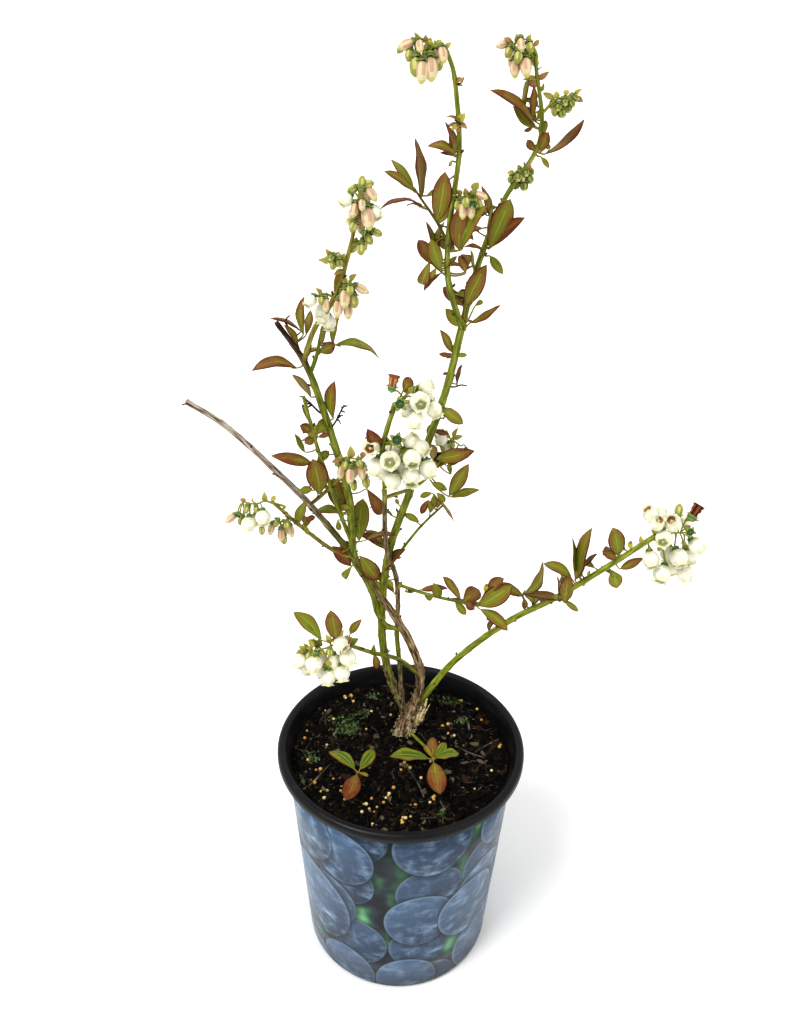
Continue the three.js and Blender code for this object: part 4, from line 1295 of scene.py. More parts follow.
# Leaves of the suckers lie almost flat over the mix: (centre, tip, seen width, tone).
SUCKER_HEIGHT = 166 * MM
SUCKER_THICK, SUCKER_THIN = 0.9 * MM, 0.6 * MM
LEFT_SUCKER, RIGHT_SUCKER = (358, 772), (433, 759)
SUCKER_LEAVES = (
    (LEFT_SUCKER, (329, 750), 16, "s"), (LEFT_SUCKER, (375, 749), 10, "s"),
    (LEFT_SUCKER, (346, 799), 18, "m"), (LEFT_SUCKER, (368, 776), 7, "g"),
    (RIGHT_SUCKER, (390, 755), 22, "s"), (RIGHT_SUCKER, (440, 793), 20, "b"),
    (RIGHT_SUCKER, (459, 753), 17, "s"), (RIGHT_SUCKER, (433, 736), 8, "b"),
    (RIGHT_SUCKER, (446, 742), 9, "s"), (RIGHT_SUCKER, (424, 744), 6, "o"),
)


def thickened(piece, thickness, under=0):
    """Gives blades a thickness downwards, their lower faces a material this far down the list."""
    body = piece.modifiers.new("thickness", "SOLIDIFY")
    body.thickness = thickness
    body.offset = -1
    body.material_offset = under


def leaves_shown(name, shape, masses=()):
    """A bmesh of leaves as one piece, which stands for these masses of the frame."""
    piece = shown(name, shape, leaf_materials)
    thickened(piece, LEAF_THICKNESS, under=len(leaf_materials) // 2)
    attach(piece, "root")
    if masses:
        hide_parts(*masses)


for piece_name, table, masses in (
    ("tall_cane_leaves", TALL_CANE_LEAVES, (
        "left_fork_upper_leaves", "left_fork_side_leaves", "left_fork_low_leaves", "fork_leaves",
        "right_fork_low_leaves", "right_fork_middle_leaves", "right_fork_upper_leaves")),
    ("left_cane_leaves", LEFT_CANE_LEAVES, (
        "thin_shoot_leaves", "flowering_tip_foot_leaves", "left_cane_low_leaves",
        "left_cane_bright_leaves", "left_cane_upright_leaf", "stub_leaves", "left_side_twig_leaves")),
    ("middle_leaves", MIDDLE_LEAVES, ("woody_stem_leaves", "middle_side_leaves", "thin_twig_leaves")),
    ("right_cane_leaves", RIGHT_CANE_LEAVES, (
        "right_shoot_middle_leaves", "right_shoot_tip_leaves", "right_cane_low_leaves",
        "right_cane_middle_leaves", "right_cane_upper_leaves")),
):
    blades = bmesh.new()
    grow_leaves(blades, table)
    leaves_shown(piece_name, blades, masses)

# A seeded rule adds the leaves of the far side: each limb and the share of the way along it where
# they start. They lean back, and only stand where a leaf of the near side stands before them.
FAR_LEAVES = (
    (TALL, 0.3), (FORK_LEFT, 0.03), (FORK_RIGHT, 0.03), (LEFT, 0.2), (MIDDLE, 0.25), (RIGHT, 0.3),
    (THIN_SHOOT, 0.2), ("left_flowering_tip", 0.02), (RIGHT_SHOOT, 0.1), (MIDDLE_TWIG, 0.2),
    ("left_flower_twig", 0.1), ("left_spray", 0.1), ("bud_twig", 0.2), (THIN_TWIG, 0.3),
    (SIDE_TWIG, 0.2), (WOODY, 0.6),
)
FAR_SPACING = 0.3 * MM
BEHIND = 1.5 * MM
FAR_TONES = "ggoobbmr"


def stands_behind(point, foot, tip, reach):
    """Whether a point is hidden by a leaf from foot to tip whose sides reach this far in the picture."""
    spot, start, end = in_picture(point), in_picture(foot), in_picture(tip)
    share = max(0, min(1, (spot - start).dot(end - start) / (end - start).length_squared))
    aside = (spot - start.lerp(end, share)).length
    return point.y > foot.lerp(tip, share).y + BEHIND and aside < reach * leaf_outline(share, 1, 0.5)


far_blades = bmesh.new()
for limb, start in FAR_LEAVES:
    line = lines[limb]
    lengths = lengths_along(line)
    place = start * lengths[-1]
    while place < lengths[-1]:
        joint = line[min(range(len(line)), key=lambda i: abs(lengths[i] - place))]
        place += FAR_SPACING
        away = math.radians(grown.gauss(0, 40))
        tilt = math.radians(grown.uniform(-40, 20))
        run = Vector((math.sin(away) * math.cos(tilt), math.cos(away) * math.cos(tilt), math.sin(tilt)))
        length = grown.triangular(8, 20, 12) * MM
        broad = length * grown.uniform(0.34, 0.46)
        foot = joint + run * grown.uniform(2.5, 5) * MM
        side = run.cross(Vector((0, 0, 1))).normalized() * broad / 2
        spots = [foot + run * length * 0.5 + side, foot + run * length * 0.5 - side,
                 foot + run * length]
        if not all(any(stands_behind(spot, *leaf) for leaf in near_leaves) for spot in spots):
            continue
        facing = Vector((grown.gauss(0, 0.35), grown.gauss(0, 0.35), 1))
        add_leaf(far_blades, foot, foot + run * length, broad, facing, grown.uniform(0, 0.14),
                 grown.choice(FAR_TONES))
        leaf_stalk(joint, joint.lerp(foot, 0.5), foot, foot + run * 0.12 * length)
        place += grown.uniform(2, 7) * MM
leaves_shown("far_leaves", far_blades)

low_blades = bmesh.new()
grow_leaves(low_blades, LOW_LEAVES)
for centre, tip_spot, seen_width, tone in SUCKER_LEAVES:
    hub = at_height(*centre, SUCKER_HEIGHT)
    tip = at_height(*tip_spot, SUCKER_HEIGHT + grown.uniform(0, 3) * MM)
    foot = hub.lerp(tip, 0.1)
    rise = Vector((0, 0, 1)) + 0.25 * Vector((grown.gauss(0, 1), grown.gauss(0, 1), 0))
    broad = max(real_width(foot, seen_width), 0.4 * (tip - foot).length)
    add_leaf(low_blades, foot, tip, broad, rise, 0.06, tone)
    strand(stalks, [hub - Vector((0, 0, 1 * MM)), foot, foot.lerp(tip, 0.12)], 0.6 * MM, STALK_THIN,
           step=STALK_STEP)
leaves_shown("low_leaves", low_blades, ("low_twig_leaves", "left_sucker_leaves", "right_sucker_leaves"))
left_sucker_foot = on_mix(357, 783, -2 * MM)
left_sucker_tip = at_height(*LEFT_SUCKER, SUCKER_HEIGHT - 1 * MM)
left_sucker_middle = left_sucker_foot.lerp(left_sucker_tip, 0.6)
right_sucker_tip = at_height(*RIGHT_SUCKER, SUCKER_HEIGHT - 1 * MM)
for way in ((left_sucker_foot, left_sucker_middle, left_sucker_tip),
            (lines["right_sucker"][-1], right_sucker_tip)):
    strand(fine_twigs, way, SUCKER_THICK, SUCKER_THIN)

# ---------------------------------------------------------------- blossom
# Racemes of small urn-shaped flowers hang from the shoot tips on short stalks with bracts at
# their feet. Some are striped pink buds, some open white bells, and a few have dropped to a cup.
# Half outlines in mm, from the stalk down: (radius, height).
BELL = [
    (0, 0), (1.2, 0), (3.2, -0.7), (4.25, -2.4), (4.55, -4.2), (4.2, -6.0), (3.3, -7.4),
    (2.6, -8.1), (2.7, -8.7), (3.2, -9.0), (3.4, -8.8), (2.9, -8.5), (2.2, -8.1), (2.9, -7.0),
    (2.8, -5.6), (1.3, -4.9), (0.55, -5.0), (0.45, -7.6), (0, -7.8),
]
BUD = [
    (0, 0), (1.0, 0), (1.9, -1.0), (2.45, -2.8), (2.5, -4.7), (2.15, -6.5), (1.4, -8.0),
    (0.6, -8.9), (0, -9.2),
]
CUP = [
    (0, 2.2), (0.35, 2.2), (1.35, 1.9), (1.9, 1.1), (1.95, 0.2), (2.5, -0.6), (1.8, -0.3),
    (1.5, 0.3), (1.1, 0.6), (0.4, 0.5), (0.3, -0.5), (0, -0.7),
]
SPENT = [
    (0, 0), (1.4, 0), (1.8, -0.8), (1.6, -2.0), (2.2, -3.2), (1.9, -4.3), (2.3, -5.4), (1.5, -5.8),
    (0.9, -4.4), (0, -3.4),
]
FLOWER_STEPS = 20
petal_materials = []
for name, colour, roughness in (
    ("petal_white", (0.80, 0.785, 0.66), 0.5), ("petal_cream", (0.72, 0.69, 0.42), 0.5),
    ("petal_pink", (0.56, 0.36, 0.255), 0.5), ("petal_tip", (0.33, 0.335, 0.085), 0.5),
    ("petal_throat", (0.62, 0.64, 0.36), 0.6), ("cup_green", (0.25, 0.31, 0.08), 0.5),
    ("cup_blue", (0.085, 0.190, 0.090), 0.5), ("petal_brown", (0.50, 0.27, 0.11), 0.8),
    ("bud_cream", (0.65, 0.565, 0.36), 0.5), ("rust", (0.25, 0.085, 0.032), 0.8),
    # The darker petal tone is painted shade, laid in the grooves between the ribs of the bells.
    ("bud_lip", (0.54, 0.51, 0.21), 0.5), ("petal_painted_shade", (0.69, 0.675, 0.50), 0.5),
    ("bud_cup", (0.15, 0.195, 0.055), 0.5), ("cup_hollow", (0.03, 0.085, 0.035), 0.5),
    ("dark_rust", (0.055, 0.018, 0.010), 0.85),
):
    petal_materials.append(grainy(name, colour, roughness, 300, (roughness - 0.1, roughness + 0.15),
                                  specular=0.2, relief=(1300, (1, 1, 1), 4), lift=0.00008))
(WHITE, CREAM, PINK, TIP, THROAT, GREEN_CUP, BLUE_CUP, BROWN, BUD_CREAM, RUST, LIP, PAINTED_SHADE, BUD_CUP,
 HOLLOW, DARK) = range(len(petal_materials))


def flower_part(profile, rib, lobe, lobe_height, zone):
    """A five-ribbed turned part in millimetres, its faces given materials by the zone rule."""
    shape = turned([(r * MM, z * MM) for r, z in profile], FLOWER_STEPS)
    if shape.calc_volume(signed=True) < 0:
        bmesh.ops.reverse_faces(shape, faces=shape.faces)
    for vert in shape.verts:
        around = math.atan2(vert.co.y, vert.co.x)
        star = lobe if (vert.co.z / MM < lobe_height) == (lobe_height < 0) else rib
        grow = 1 + star * math.cos(5 * around)
        vert.co.x *= grow
        vert.co.y *= grow
    for face in shape.faces:
        middle = face.calc_center_median()
        outward = face.normal.dot(Vector((middle.x, middle.y, 0))) > -1e-5
        ridge = math.cos(5 * math.atan2(middle.y, middle.x))
        face.material_index = zone(middle.z / MM, ridge, outward)
    return shape


def joined(parts):
    """Several bmeshes as one template mesh."""
    whole = bmesh.new()
    for part in parts:
        carried = bpy.data.meshes.new("part")
        part.to_mesh(carried)
        part.free()
        whole.from_mesh(carried)
        bpy.data.meshes.remove(carried)
    mesh = bpy.data.meshes.new("template")
    whole.to_mesh(mesh)
    whole.free()
    return mesh


def cup_part(green=GREEN_CUP, blue=BLUE_CUP):
    """The green cup behind a flower, with five points."""
    return flower_part(CUP, 0.02, 0.36, -0.4, lambda z, ridge, outward:
                       green if z < -0.2 or z > 1.5 else blue if outward or z > 0.4 else HOLLOW)


def bud_part(wide, long, rib, lobe_height, zone):
    """A closed bud, as wide and long as these shares of the pink one."""
    return flower_part([(wide * r, long * z) for r, z in BUD], rib, 0.10, lobe_height, zone)


def bell_zone(z, ridge, outward):
    """A white bell, cream at its foot and inside, with a pale green throat, and painted shade in the
    grooves between its ribs near its top and near its lip.
    """
    if not outward:
        return THROAT if z > -6.4 else CREAM
    if z > -0.9:
        return CREAM
    return PAINTED_SHADE if ridge < 0 and (z > -2.6 or z < -6.4) else WHITE


def brown_zone(z, ridge, outward):
    """An older bell, brown inside, with painted shade in the grooves between its ribs."""
    if not outward:
        return BROWN if z > -6.9 else CREAM
    return PAINTED_SHADE if ridge < 0 else WHITE


def pink_zone(z, ridge, outward):
    """A cream bud with pink ribs and a green tip."""
    if z < -7.4:
        return LIP
    return PINK if ridge > 0.2 and z > -6.6 else BUD_CREAM


def knob_zone(z, ridge, outward):
    """A small tight green bud."""
    if z < -3.7:
        return LIP
    return BUD_CUP if ridge < 0 else TIP


def green_zone(z, ridge, outward):
    """A young green bud, yellower between its ribs."""
    return TIP if ridge > 0 or z < -4.6 else LIP


def spent_zone(z, ridge, outward):
    """A shrivelled flower, rust with brown ribs."""
    return BROWN if ridge > 0 and z > -4.5 else RUST


def dry_zone(z, ridge, outward):
    """A dried flower, rust with dark folds."""
    return DARK if ridge < -0.5 or z < -5.4 else RUST


FLOWERS = {
    "bell": joined([cup_part(), flower_part(BELL, 0.035, 0.24, -8.35, bell_zone)]),
    "pink": joined([cup_part(blue=BUD_CUP), bud_part(1, 1, 0.08, -8.0, pink_zone)]),
    "green": joined([cup_part(blue=BUD_CUP), bud_part(0.95, 0.74, 0.09, -5.8, green_zone)]),
    "cup": joined([cup_part(TIP, BLUE_CUP)]),
    "spent": joined([cup_part(), flower_part(SPENT, 0.16, 0.38, -4.4, spent_zone)]),
    "dry": joined([cup_part(), flower_part(SPENT, 0.20, 0.38, -4.4, dry_zone)]),
    "knob": joined([cup_part(blue=BUD_CUP), bud_part(0.85, 0.5, 0.12, -4, knob_zone)]),
    "brown": joined([cup_part(), flower_part(BELL, 0.05, 0.26, -8.35, brown_zone)]),
}
BUD_KINDS = ("pink", "green", "knob")
BUD_SIZE, BELL_SIZE = 0.93, 1.06
AXIS_THICK, AXIS_THIN = 0.75 * MM, 0.4 * MM
FLOWER_STALK = 0.42 * MM
CUP_LENGTH = 2.3  # mm from the end of a stalk to the top of its flower
DROOP = Vector((0, 0, -0.12))
# A flower's middle below the end of its stalk, in mm.
FLOWER_DROP = {"bell": 4.4, "pink": 5, "green": 3.6, "cup": 0, "spent": 2.5, "dry": 2.5, "brown": 4.4,
               "knob": 2.4}
# Each raceme: its limb, the way of its axis, and its flowers: (kind, x, y, lean from hanging in
# degrees, nearer by mm, size, how far it faces the camera: 1 straight at it, below 0 away).
RACEMES = (
    (FORK_LEFT, ((448, 52), (441, 47), (433, 46), (426, 42), (413, 40)), (
        ("pink", 405, 45, -75, 1, 0.85, 0), ("green", 409, 56, -10, 2, 0.8, 0),
        ("pink", 420, 47, 10, 5, 0.7, 0.3), ("green", 416, 68, 3, 3, 1.3, 0),
        ("pink", 422, 74, -4, 6, 1.15, 0.1), ("pink", 431, 71, 4, 4, 1.25, 0.1),
        ("pink", 443, 56, 12, 3, 0.85, 0.1), ("green", 426, 58, -5, -3, 0.9, 0),
        ("pink", 436, 58, 8, -5, 0.8, 0), ("green", 400, 50, -50, -2, 0.6, 0),
        ("pink", 428, 60, 0, -8, 1.0, -0.3), ("green", 438, 64, 15, -7, 1, -0.2),
    )),
    (FORK_RIGHT, ((537, 58), (533, 47), (524, 42), (512, 44)), (
        ("pink", 502, 45, -80, 0, 0.75, 0), ("pink", 521, 46, 5, 5, 0.8, 0.2),
        ("green", 530, 48, 10, 4, 0.8, 0.2), ("green", 508, 53, -20, 3, 0.8, 0),
        ("pink", 515, 70, 0, 3, 1.0, 0), ("pink", 526, 69, 10, 6, 1.15, 0.2),
        ("green", 518, 58, -5, 6, 0.9, 0), ("pink", 521, 60, 0, -5, 1.0, 0),
        ("green", 535, 62, 25, -2, 0.8, 0), ("pink", 512, 60, -12, -7, 0.9, -0.2),
        ("green", 529, 58, 8, -8, 0.9, -0.2),
    )),
    (FORK_RIGHT, ((543, 112), (552, 103), (564, 98), (575, 98)), (
        ("pink", 560, 105, 20, 3, 0.6, 0.2), ("green", 555, 112, 0, 2, 0.75, 0),
        ("knob", 562, 114, 5, 4, 1.0, 0), ("knob", 568, 109, 15, 2, 0.95, 0),
        ("knob", 572, 104, 40, 3, 0.9, 0), ("knob", 552, 106, -20, 0, 0.8, 0),
        ("knob", 576, 98, 70, 2, 0.85, 0.2), ("knob", 565, 103, 20, 5, 0.8, 0.5),
        ("knob", 558, 108, 0, 5, 0.8, 0.3), ("knob", 560, 111, 0, -6, 0.9, -0.3),
        ("knob", 569, 101, 60, -4, 0.8, -0.3),
    )),
    (FORK_RIGHT, ((529, 170), (524, 172), (517, 174), (513, 177)), (
        ("knob", 511, 180, -40, 2, 0.9, 0.1), ("knob", 518, 178, 0, 5, 1.0, 0.4),
        ("knob", 530, 180, 30, 3, 1.0, 0.1), ("knob", 524, 187, 0, 3, 1.0, 0),
        ("knob", 516, 186, -10, 1, 0.9, 0), ("pink", 523, 178, 5, 3, 0.55, 0.3),
        ("knob", 531, 172, 60, -4, 0.9, 0), ("knob", 526, 174, 20, 4, 0.8, 0.5),
        ("knob", 520, 183, 0, -4, 0.9, -0.2),
    )),
    (FORK_LEFT, ((455, 197), (462, 197), (471, 198), (478, 199)), (
        ("pink", 482, 196, 75, 3, 0.75, 0), ("pink", 463, 212, -3, 4, 0.9, 0),
        ("pink", 471, 212, 3, 5, 0.85, 0), ("green", 475, 216, 5, 2, 0.9, 0),
        ("cup", 473, 204, 0, 6, 0.9, 0.9), ("green", 458, 206, -15, 2, 0.8, 0),
        ("green", 466, 203, 0, 7, 0.8, 0.4), ("pink", 468, 208, 0, -6, 0.9, 0),
        ("green", 479, 206, 20, -3, 0.9, 0),
    )),
    (MIDDLE, ((399, 407), (402, 399), (409, 393), (418, 391)), (
        ("spent", 393, 382, 170, 3, 1.0, 0.2), ("cup", 400, 404, 0, 6, 1.15, 1),
        ("bell", 420, 402, 30, 6, 1.05, 0.8), ("bell", 415, 420, -3, 3, 0.92, 0.1),
        ("bell", 434, 410, 35, -1, 0.85, 0.2), ("bell", 426, 387, 120, -4, 0.8, 0.2),
        ("cup", 416, 390, 90, 3, 0.95, 0.3), ("bell", 409, 409, -25, -7, 0.85, -0.3),
        ("bell", 425, 398, 60, -8, 0.9, -0.3),
    )),
    (MIDDLE, ((381, 446), (388, 444), (397, 445), (406, 449), (414, 452)), (
        ("brown", 371, 447, -60, 4, 1.0, 0.85), ("cup", 397, 440, 0, 5, 1.25, 1),
        ("bell", 390, 461, 0, 9, 1.12, 0.92), ("bell", 376, 467, -20, 3, 1.0, 0.1),
        ("bell", 412, 459, 8, 7, 0.98, 0.5), ("bell", 411, 478, 0, 6, 1.0, 0.45),
        ("bell", 428, 469, 18, 3, 1.0, 0.2), ("bell", 393, 481, -4, 4, 0.95, 0),
        ("bell", 411, 441, 150, 0, 0.85, 0.3), ("bell", 421, 448, 60, 2, 0.9, 0.3),
        ("bell", 402, 470, 0, -4, 0.95, -0.1), ("bell", 385, 472, -10, -8, 0.9, -0.3),
        ("bell", 419, 462, 20, -8, 0.95, -0.3), ("bell", 405, 455, 0, -12, 0.95, -0.6),
        ("bell", 392, 448, -30, -9, 0.9, -0.4),
    )),
    ("bud_twig", ((341, 459), (348, 458), (356, 459), (361, 460)), (
        ("pink", 350, 477, -3, 6, 1.12, 0.1), ("pink", 341, 473, -12, 2, 0.95, 0),
        ("pink", 362, 474, 5, 5, 0.95, 0), ("green", 366, 483, 12, 2, 1.05, 0),
        ("green", 354, 487, 0, 1, 0.8, 0), ("green", 345, 466, -20, 4, 0.9, 0.2),
        ("green", 360, 464, 20, 7, 0.8, 0.3), ("pink", 355, 472, 0, -5, 0.9, -0.1),
        ("green", 338, 463, -50, -2, 0.8, 0), ("pink", 347, 468, -5, -8, 0.9, -0.3),
        ("green", 365, 468, 35, -5, 0.8, -0.2),
    )),
    (MIDDLE_TWIG, ((440, 441), (447, 437), (454, 441), (461, 446)), (
        ("bell", 441, 439, -10, -1, 0.8, 0.1), ("pink", 457, 455, 0, 2, 0.62, 0),
        ("pink", 467, 454, 12, 0, 0.62, 0), ("green", 452, 446, 0, -4, 0.8, 0),
        ("bell", 447, 449, 0, -7, 0.8, -0.2),
    )),
    ("left_flowering_tip", ((356, 225), (357, 214), (358, 203), (360, 192), (362, 184)), (
        ("green", 362, 181, 175, 2, 0.8, 0.2), ("green", 369, 184, 110, 1, 0.8, 0),
        ("pink", 372, 195, 40, 2, 0.9, 0), ("bell", 346, 200, -50, 1, 0.64, 0.1),
        ("bell", 375, 213, 30, 0, 0.68, 0.1), ("pink", 362, 206, 0, 6, 0.7, 0.3),
        ("pink", 368, 220, 12, 5, 1.25, 0.1), ("pink", 354, 211, -12, 3, 0.8, 0.1),
        ("green", 353, 228, -25, 3, 0.8, 0), ("green", 352, 190, -70, -2, 0.8, 0),
        ("pink", 366, 200, 30, -5, 0.9, -0.2), ("bell", 352, 217, -30, -6, 0.7, -0.3),
        ("pink", 361, 226, 0, -5, 0.95, -0.2),
    )),
    ("left_flowering_tip", ((355, 244), (362, 242), (369, 240)), (
        ("green", 369, 240, 40, 2, 0.85, 0), ("green", 361, 250, 0, 4, 0.85, 0),
        ("green", 378, 233, 70, 1, 0.75, 0), ("cup", 366, 234, 90, 3, 0.9, 0.3),
        ("green", 353, 248, -25, -3, 0.85, 0), ("green", 364, 246, 10, -6, 0.8, -0.2),
    )),
    ("left_flowering_tip", ((346, 262), (339, 258), (332, 259)), (
        ("green", 333, 265, -10, 2, 0.8, 0), ("green", 327, 260, -60, 1, 0.75, 0),
        ("knob", 340, 264, 5, 4, 0.95, 0.2), ("pink", 335, 257, -110, 1, 0.6, 0),
        ("knob", 336, 262, 0, -5, 0.9, -0.3), ("knob", 331, 258, -40, 4, 0.8, 0.4),
    )),
    ("left_flowering_tip", ((340, 283), (347, 284), (353, 286), (358, 287)), (
        ("pink", 363, 290, 65, 2, 0.85, 0), ("pink", 345, 300, -5, 5, 1.1, 0),
        ("pink", 338, 310, -8, 3, 1.05, 0), ("green", 354, 302, 8, 3, 1.05, 0),
        ("pink", 348, 312, 3, 2, 0.95, 0), ("green", 350, 291, 0, 6, 0.8, 0.2),
        ("pink", 352, 296, 10, -4, 0.9, -0.1), ("green", 343, 294, -10, -6, 0.8, -0.2),
    )),
    ("left_flowering_tip", ((329, 295), (322, 294), (316, 296)), (
        ("bell", 310, 301, -45, 3, 0.64, 0.2), ("bell", 321, 312, -10, -4, 0.70, 0.1),
        ("bell", 329, 323, 3, -6, 0.74, 0.1), ("green", 321, 301, 0, 5, 0.7, 0.2),
        ("pink", 326, 306, 5, 5, 0.8, 0), ("bell", 322, 316, 0, -5, 0.8, -0.2),
    )),
    ("left_flower_twig", ((285, 507), (272, 503), (265, 501), (256, 504), (244, 502)), (
        ("pink", 230, 519, -55, 1, 0.85, 0), ("cup", 238, 515, -40, 3, 0.95, 0.4),
        ("bell", 249, 524, -5, 4, 0.88, 0.1), ("bell", 263, 518, 5, 7, 0.9, 0.25),
        ("green", 262, 531, 0, 3, 0.8, 0), ("green", 246, 510, -20, 2, 0.8, 0),
        ("green", 256, 510, 0, 3, 0.7, 0), ("pink", 256, 521, 0, -6, 0.9, -0.2),
        ("green", 241, 521, -20, -4, 0.85, 0),
    )),
    ("left_flower_twig", ((295, 519), (288, 519), (281, 522), (276, 524)), (
        ("pink", 271, 530, -15, 3, 0.85, 0), ("pink", 281, 536, 0, 5, 0.9, 0),
        ("green", 284, 540, 4, 2, 0.9, 0), ("pink", 291, 532, 10, 3, 0.85, 0),
        ("green", 276, 524, -30, 4, 0.75, 0), ("green", 287, 526, 0, 6, 0.75, 0.2),
        ("pink", 285, 531, 0, -5, 0.85, -0.2),
    )),
    (LOW, ((341, 646), (334, 645), (326, 648), (318, 650), (309, 652)), (
        ("bell", 301, 661, -35, 2, 0.95, 0.1), ("bell", 314, 664, -8, 6, 1.1, 0.1),
        ("bell", 341, 644, 50, 5, 0.95, 0.4), ("bell", 348, 658, 25, 3, 1.1, 0.15),
        ("bell", 328, 677, -4, 4, 1.05, 0), ("bell", 342, 673, 8, 3, 1.1, 0.1),
        ("bell", 320, 659, -5, -4, 0.95, 0), ("bell", 334, 662, 5, -2, 1.0, 0.1),
        ("green", 330, 653, 0, 8, 0.8, 0.2), ("green", 308, 656, -30, 4, 0.8, 0),
        ("bell", 307, 668, -15, -5, 0.85, -0.2), ("bell", 333, 671, 0, -9, 0.9, -0.3),
        ("bell", 322, 671, -5, -11, 0.9, -0.4),
    )),
    (RIGHT, ((646, 542), (655, 539), (664, 535), (673, 533), (680, 533)), (
        ("brown", 651, 514, -150, 4, 0.95, 0.3), ("brown", 657, 523, 150, 8, 0.9, 0.55),
        ("brown", 673, 523, -160, 7, 1.0, 0.6), ("bell", 664, 539, -20, 10, 1.0, 0.7),
        ("bell", 651, 560, 15, 3, 1.0, 0.35), ("bell", 662, 574, -15, 4, 1.05, 0.3),
        ("bell", 679, 558, 25, 5, 1.05, 0.35), ("bell", 685, 574, 15, 3, 1.0, 0.2),
        ("bell", 697, 546, 50, 3, 0.95, 0.3), ("dry", 695, 511, 150, 4, 1.15, 0.2),
        ("cup", 692, 519, 0, 5, 1.1, 0.3), ("green", 679, 509, 170, 2, 1.0, 0),
        ("cup", 690, 532, 70, 6, 1.05, 0.7), ("bell", 668, 553, 0, -5, 0.95, -0.1),
        ("bell", 688, 556, 20, -5, 1.0, -0.2), ("bell", 673, 566, 0, -10, 1.0, -0.4),
        ("bell", 660, 517, 150, -7, 0.9, -0.4), ("bell", 683, 520, 130, -8, 0.9, -0.4),
    )),
)
# Bracts sit at the feet of the flower stalks. By limb: (x, y, way the tip points in degrees from
# right, length in mm, tone 0 yellow, 1 green or 2 orange).
BRACTS = (
    (FORK_LEFT, (
        (437, 48, 60, 5, 0), (430, 46, 120, 4, 0), (446, 47, 40, 4, 0), (416, 42, 100, 5, 0),
        (423, 44, 70, 5, 2), (457, 121, 80, 4, 0), (453, 122, 140, 5, 2), (459, 121, 40, 6, 0),
        (453, 124, 190, 4, 2), (460, 125, -25, 5, 2), (457, 126, -90, 4, 2), (454, 125, 240, 4, 0),
        (459, 82, 10, 4, 2), (459, 83, -40, 3, 0),
    )),
    (FORK_RIGHT, (
        (523, 80, 200, 5, 0), (530, 86, 170, 6, 2), (543, 77, 30, 5, 2), (538, 45, 75, 4, 2),
        (519, 42, 110, 5, 0), (529, 43, 80, 5, 0), (541, 71, 70, 4, 0), (509, 44, 140, 5, 2),
        (548, 98, 130, 5, 0), (575, 96, 40, 6, 0), (566, 96, 90, 5, 0), (557, 99, 100, 5, 0),
        (577, 99, -10, 5, 2), (544, 90, 95, 4, 1), (520, 171, 120, 5, 0), (514, 174, 160, 5, 0),
        (527, 170, 80, 5, 2),
    )),
    (FORK_LEFT, (
        (458, 199, 160, 5, 0), (476, 190, 75, 7, 0), (466, 196, 100, 5, 2), (461, 196, 130, 5, 0),
        (471, 196, 60, 5, 1),
    )),
    (MIDDLE, (
        (410, 394, 60, 6, 0), (406, 392, 100, 6, 0), (395, 396, 140, 5, 0), (393, 401, 250, 4, 2),
        (388, 443, 100, 5, 0), (384, 441, 150, 5, 2), (403, 449, -60, 8, 1), (407, 438, 30, 5, 0),
    )),
    ("bud_twig", (
        (352, 453, 100, 8, 0), (343, 458, 160, 6, 0), (361, 458, 40, 7, 2), (348, 462, 200, 6, 0),
        (355, 461, 300, 6, 0), (338, 461, 190, 5, 2),
    )),
    (MIDDLE_TWIG, (
        (455, 433, 60, 5, 0), (450, 436, 120, 6, 0), (457, 438, 20, 5, 0),
    )),
    ("left_flowering_tip", (
        (357, 191, 120, 5, 1), (354, 221, 160, 5, 0), (368, 236, 50, 6, 1), (360, 244, 20, 5, 2),
        (330, 255, 130, 5, 0), (341, 260, 60, 5, 0), (325, 261, 180, 5, 0), (336, 268, 250, 5, 0),
        (352, 281, 60, 6, 0), (346, 283, 120, 5, 0), (321, 295, 130, 6, 0), (315, 299, 160, 5, 1),
    )),
    ("left_flower_twig", (
        (265, 498, 90, 6, 0), (256, 502, 130, 5, 0), (245, 502, 150, 5, 2), (272, 501, 60, 5, 0),
        (287, 517, 90, 5, 0), (279, 521, 150, 5, 1),
    )),
    (LOW, (
        (327, 642, 100, 6, 0), (334, 646, 60, 5, 0), (340, 636, 60, 6, 0), (350, 636, 45, 7, 2),
        (319, 648, 150, 6, 0), (330, 650, 240, 6, 0), (324, 652, 200, 5, 0), (311, 650, 150, 5, 0),
        (337, 655, 300, 5, 0), (322, 655, 250, 6, 0), (305, 643, 120, 6, 0), (312, 641, 80, 6, 1),
        (318, 643, 60, 6, 0), (308, 648, 200, 5, 2), (325, 638, 90, 6, 0), (331, 641, 40, 6, 1),
        (329, 660, 280, 7, 0), (334, 657, 250, 6, 1), (315, 653, 200, 5, 0), (345, 649, 0, 6, 2),
    )),
    (RIGHT, (
        (655, 532, 100, 6, 0), (664, 530, 80, 5, 0), (648, 545, -100, 6, 0), (672, 530, 60, 5, 1),
        (681, 540, -40, 6, 0), (684, 529, 30, 6, 0), (659, 546, -90, 5, 0), (642, 541, 120, 6, 0),
    )),
    (LOW, (
        (301, 645, 150, 8, 0), (305, 650, 190, 7, 1), (308, 639, 110, 8, 0), (315, 645, 130, 8, 0),
        (320, 638, 80, 8, 1), (326, 634, 100, 9, 0), (331, 637, 60, 8, 0), (351, 641, 20, 9, 1),
        (346, 637, 60, 8, 0), (298, 652, 200, 7, 0),
    )),
)
BRACT_TONES = (("yellow", (0.42, 0.37, 0.075)), ("green", (0.22, 0.25, 0.035)),
               ("orange", (0.37, 0.21, 0.080)))
BRACT_LIMIT = 7 * MM
BRACT_THICKNESS = 0.25 * MM
carriers = {}
stalk_ways = new_strands("flower_stalks", sides=4)
bells, buds = bmesh.new(), bmesh.new()


def planted(shape, template, matrix):
    """Adds a template mesh to a bmesh at a place."""
    first = len(shape.verts)
    shape.from_mesh(template)
    shape.verts.ensure_lookup_table()
    bmesh.ops.transform(shape, matrix=matrix, verts=shape.verts[first:])


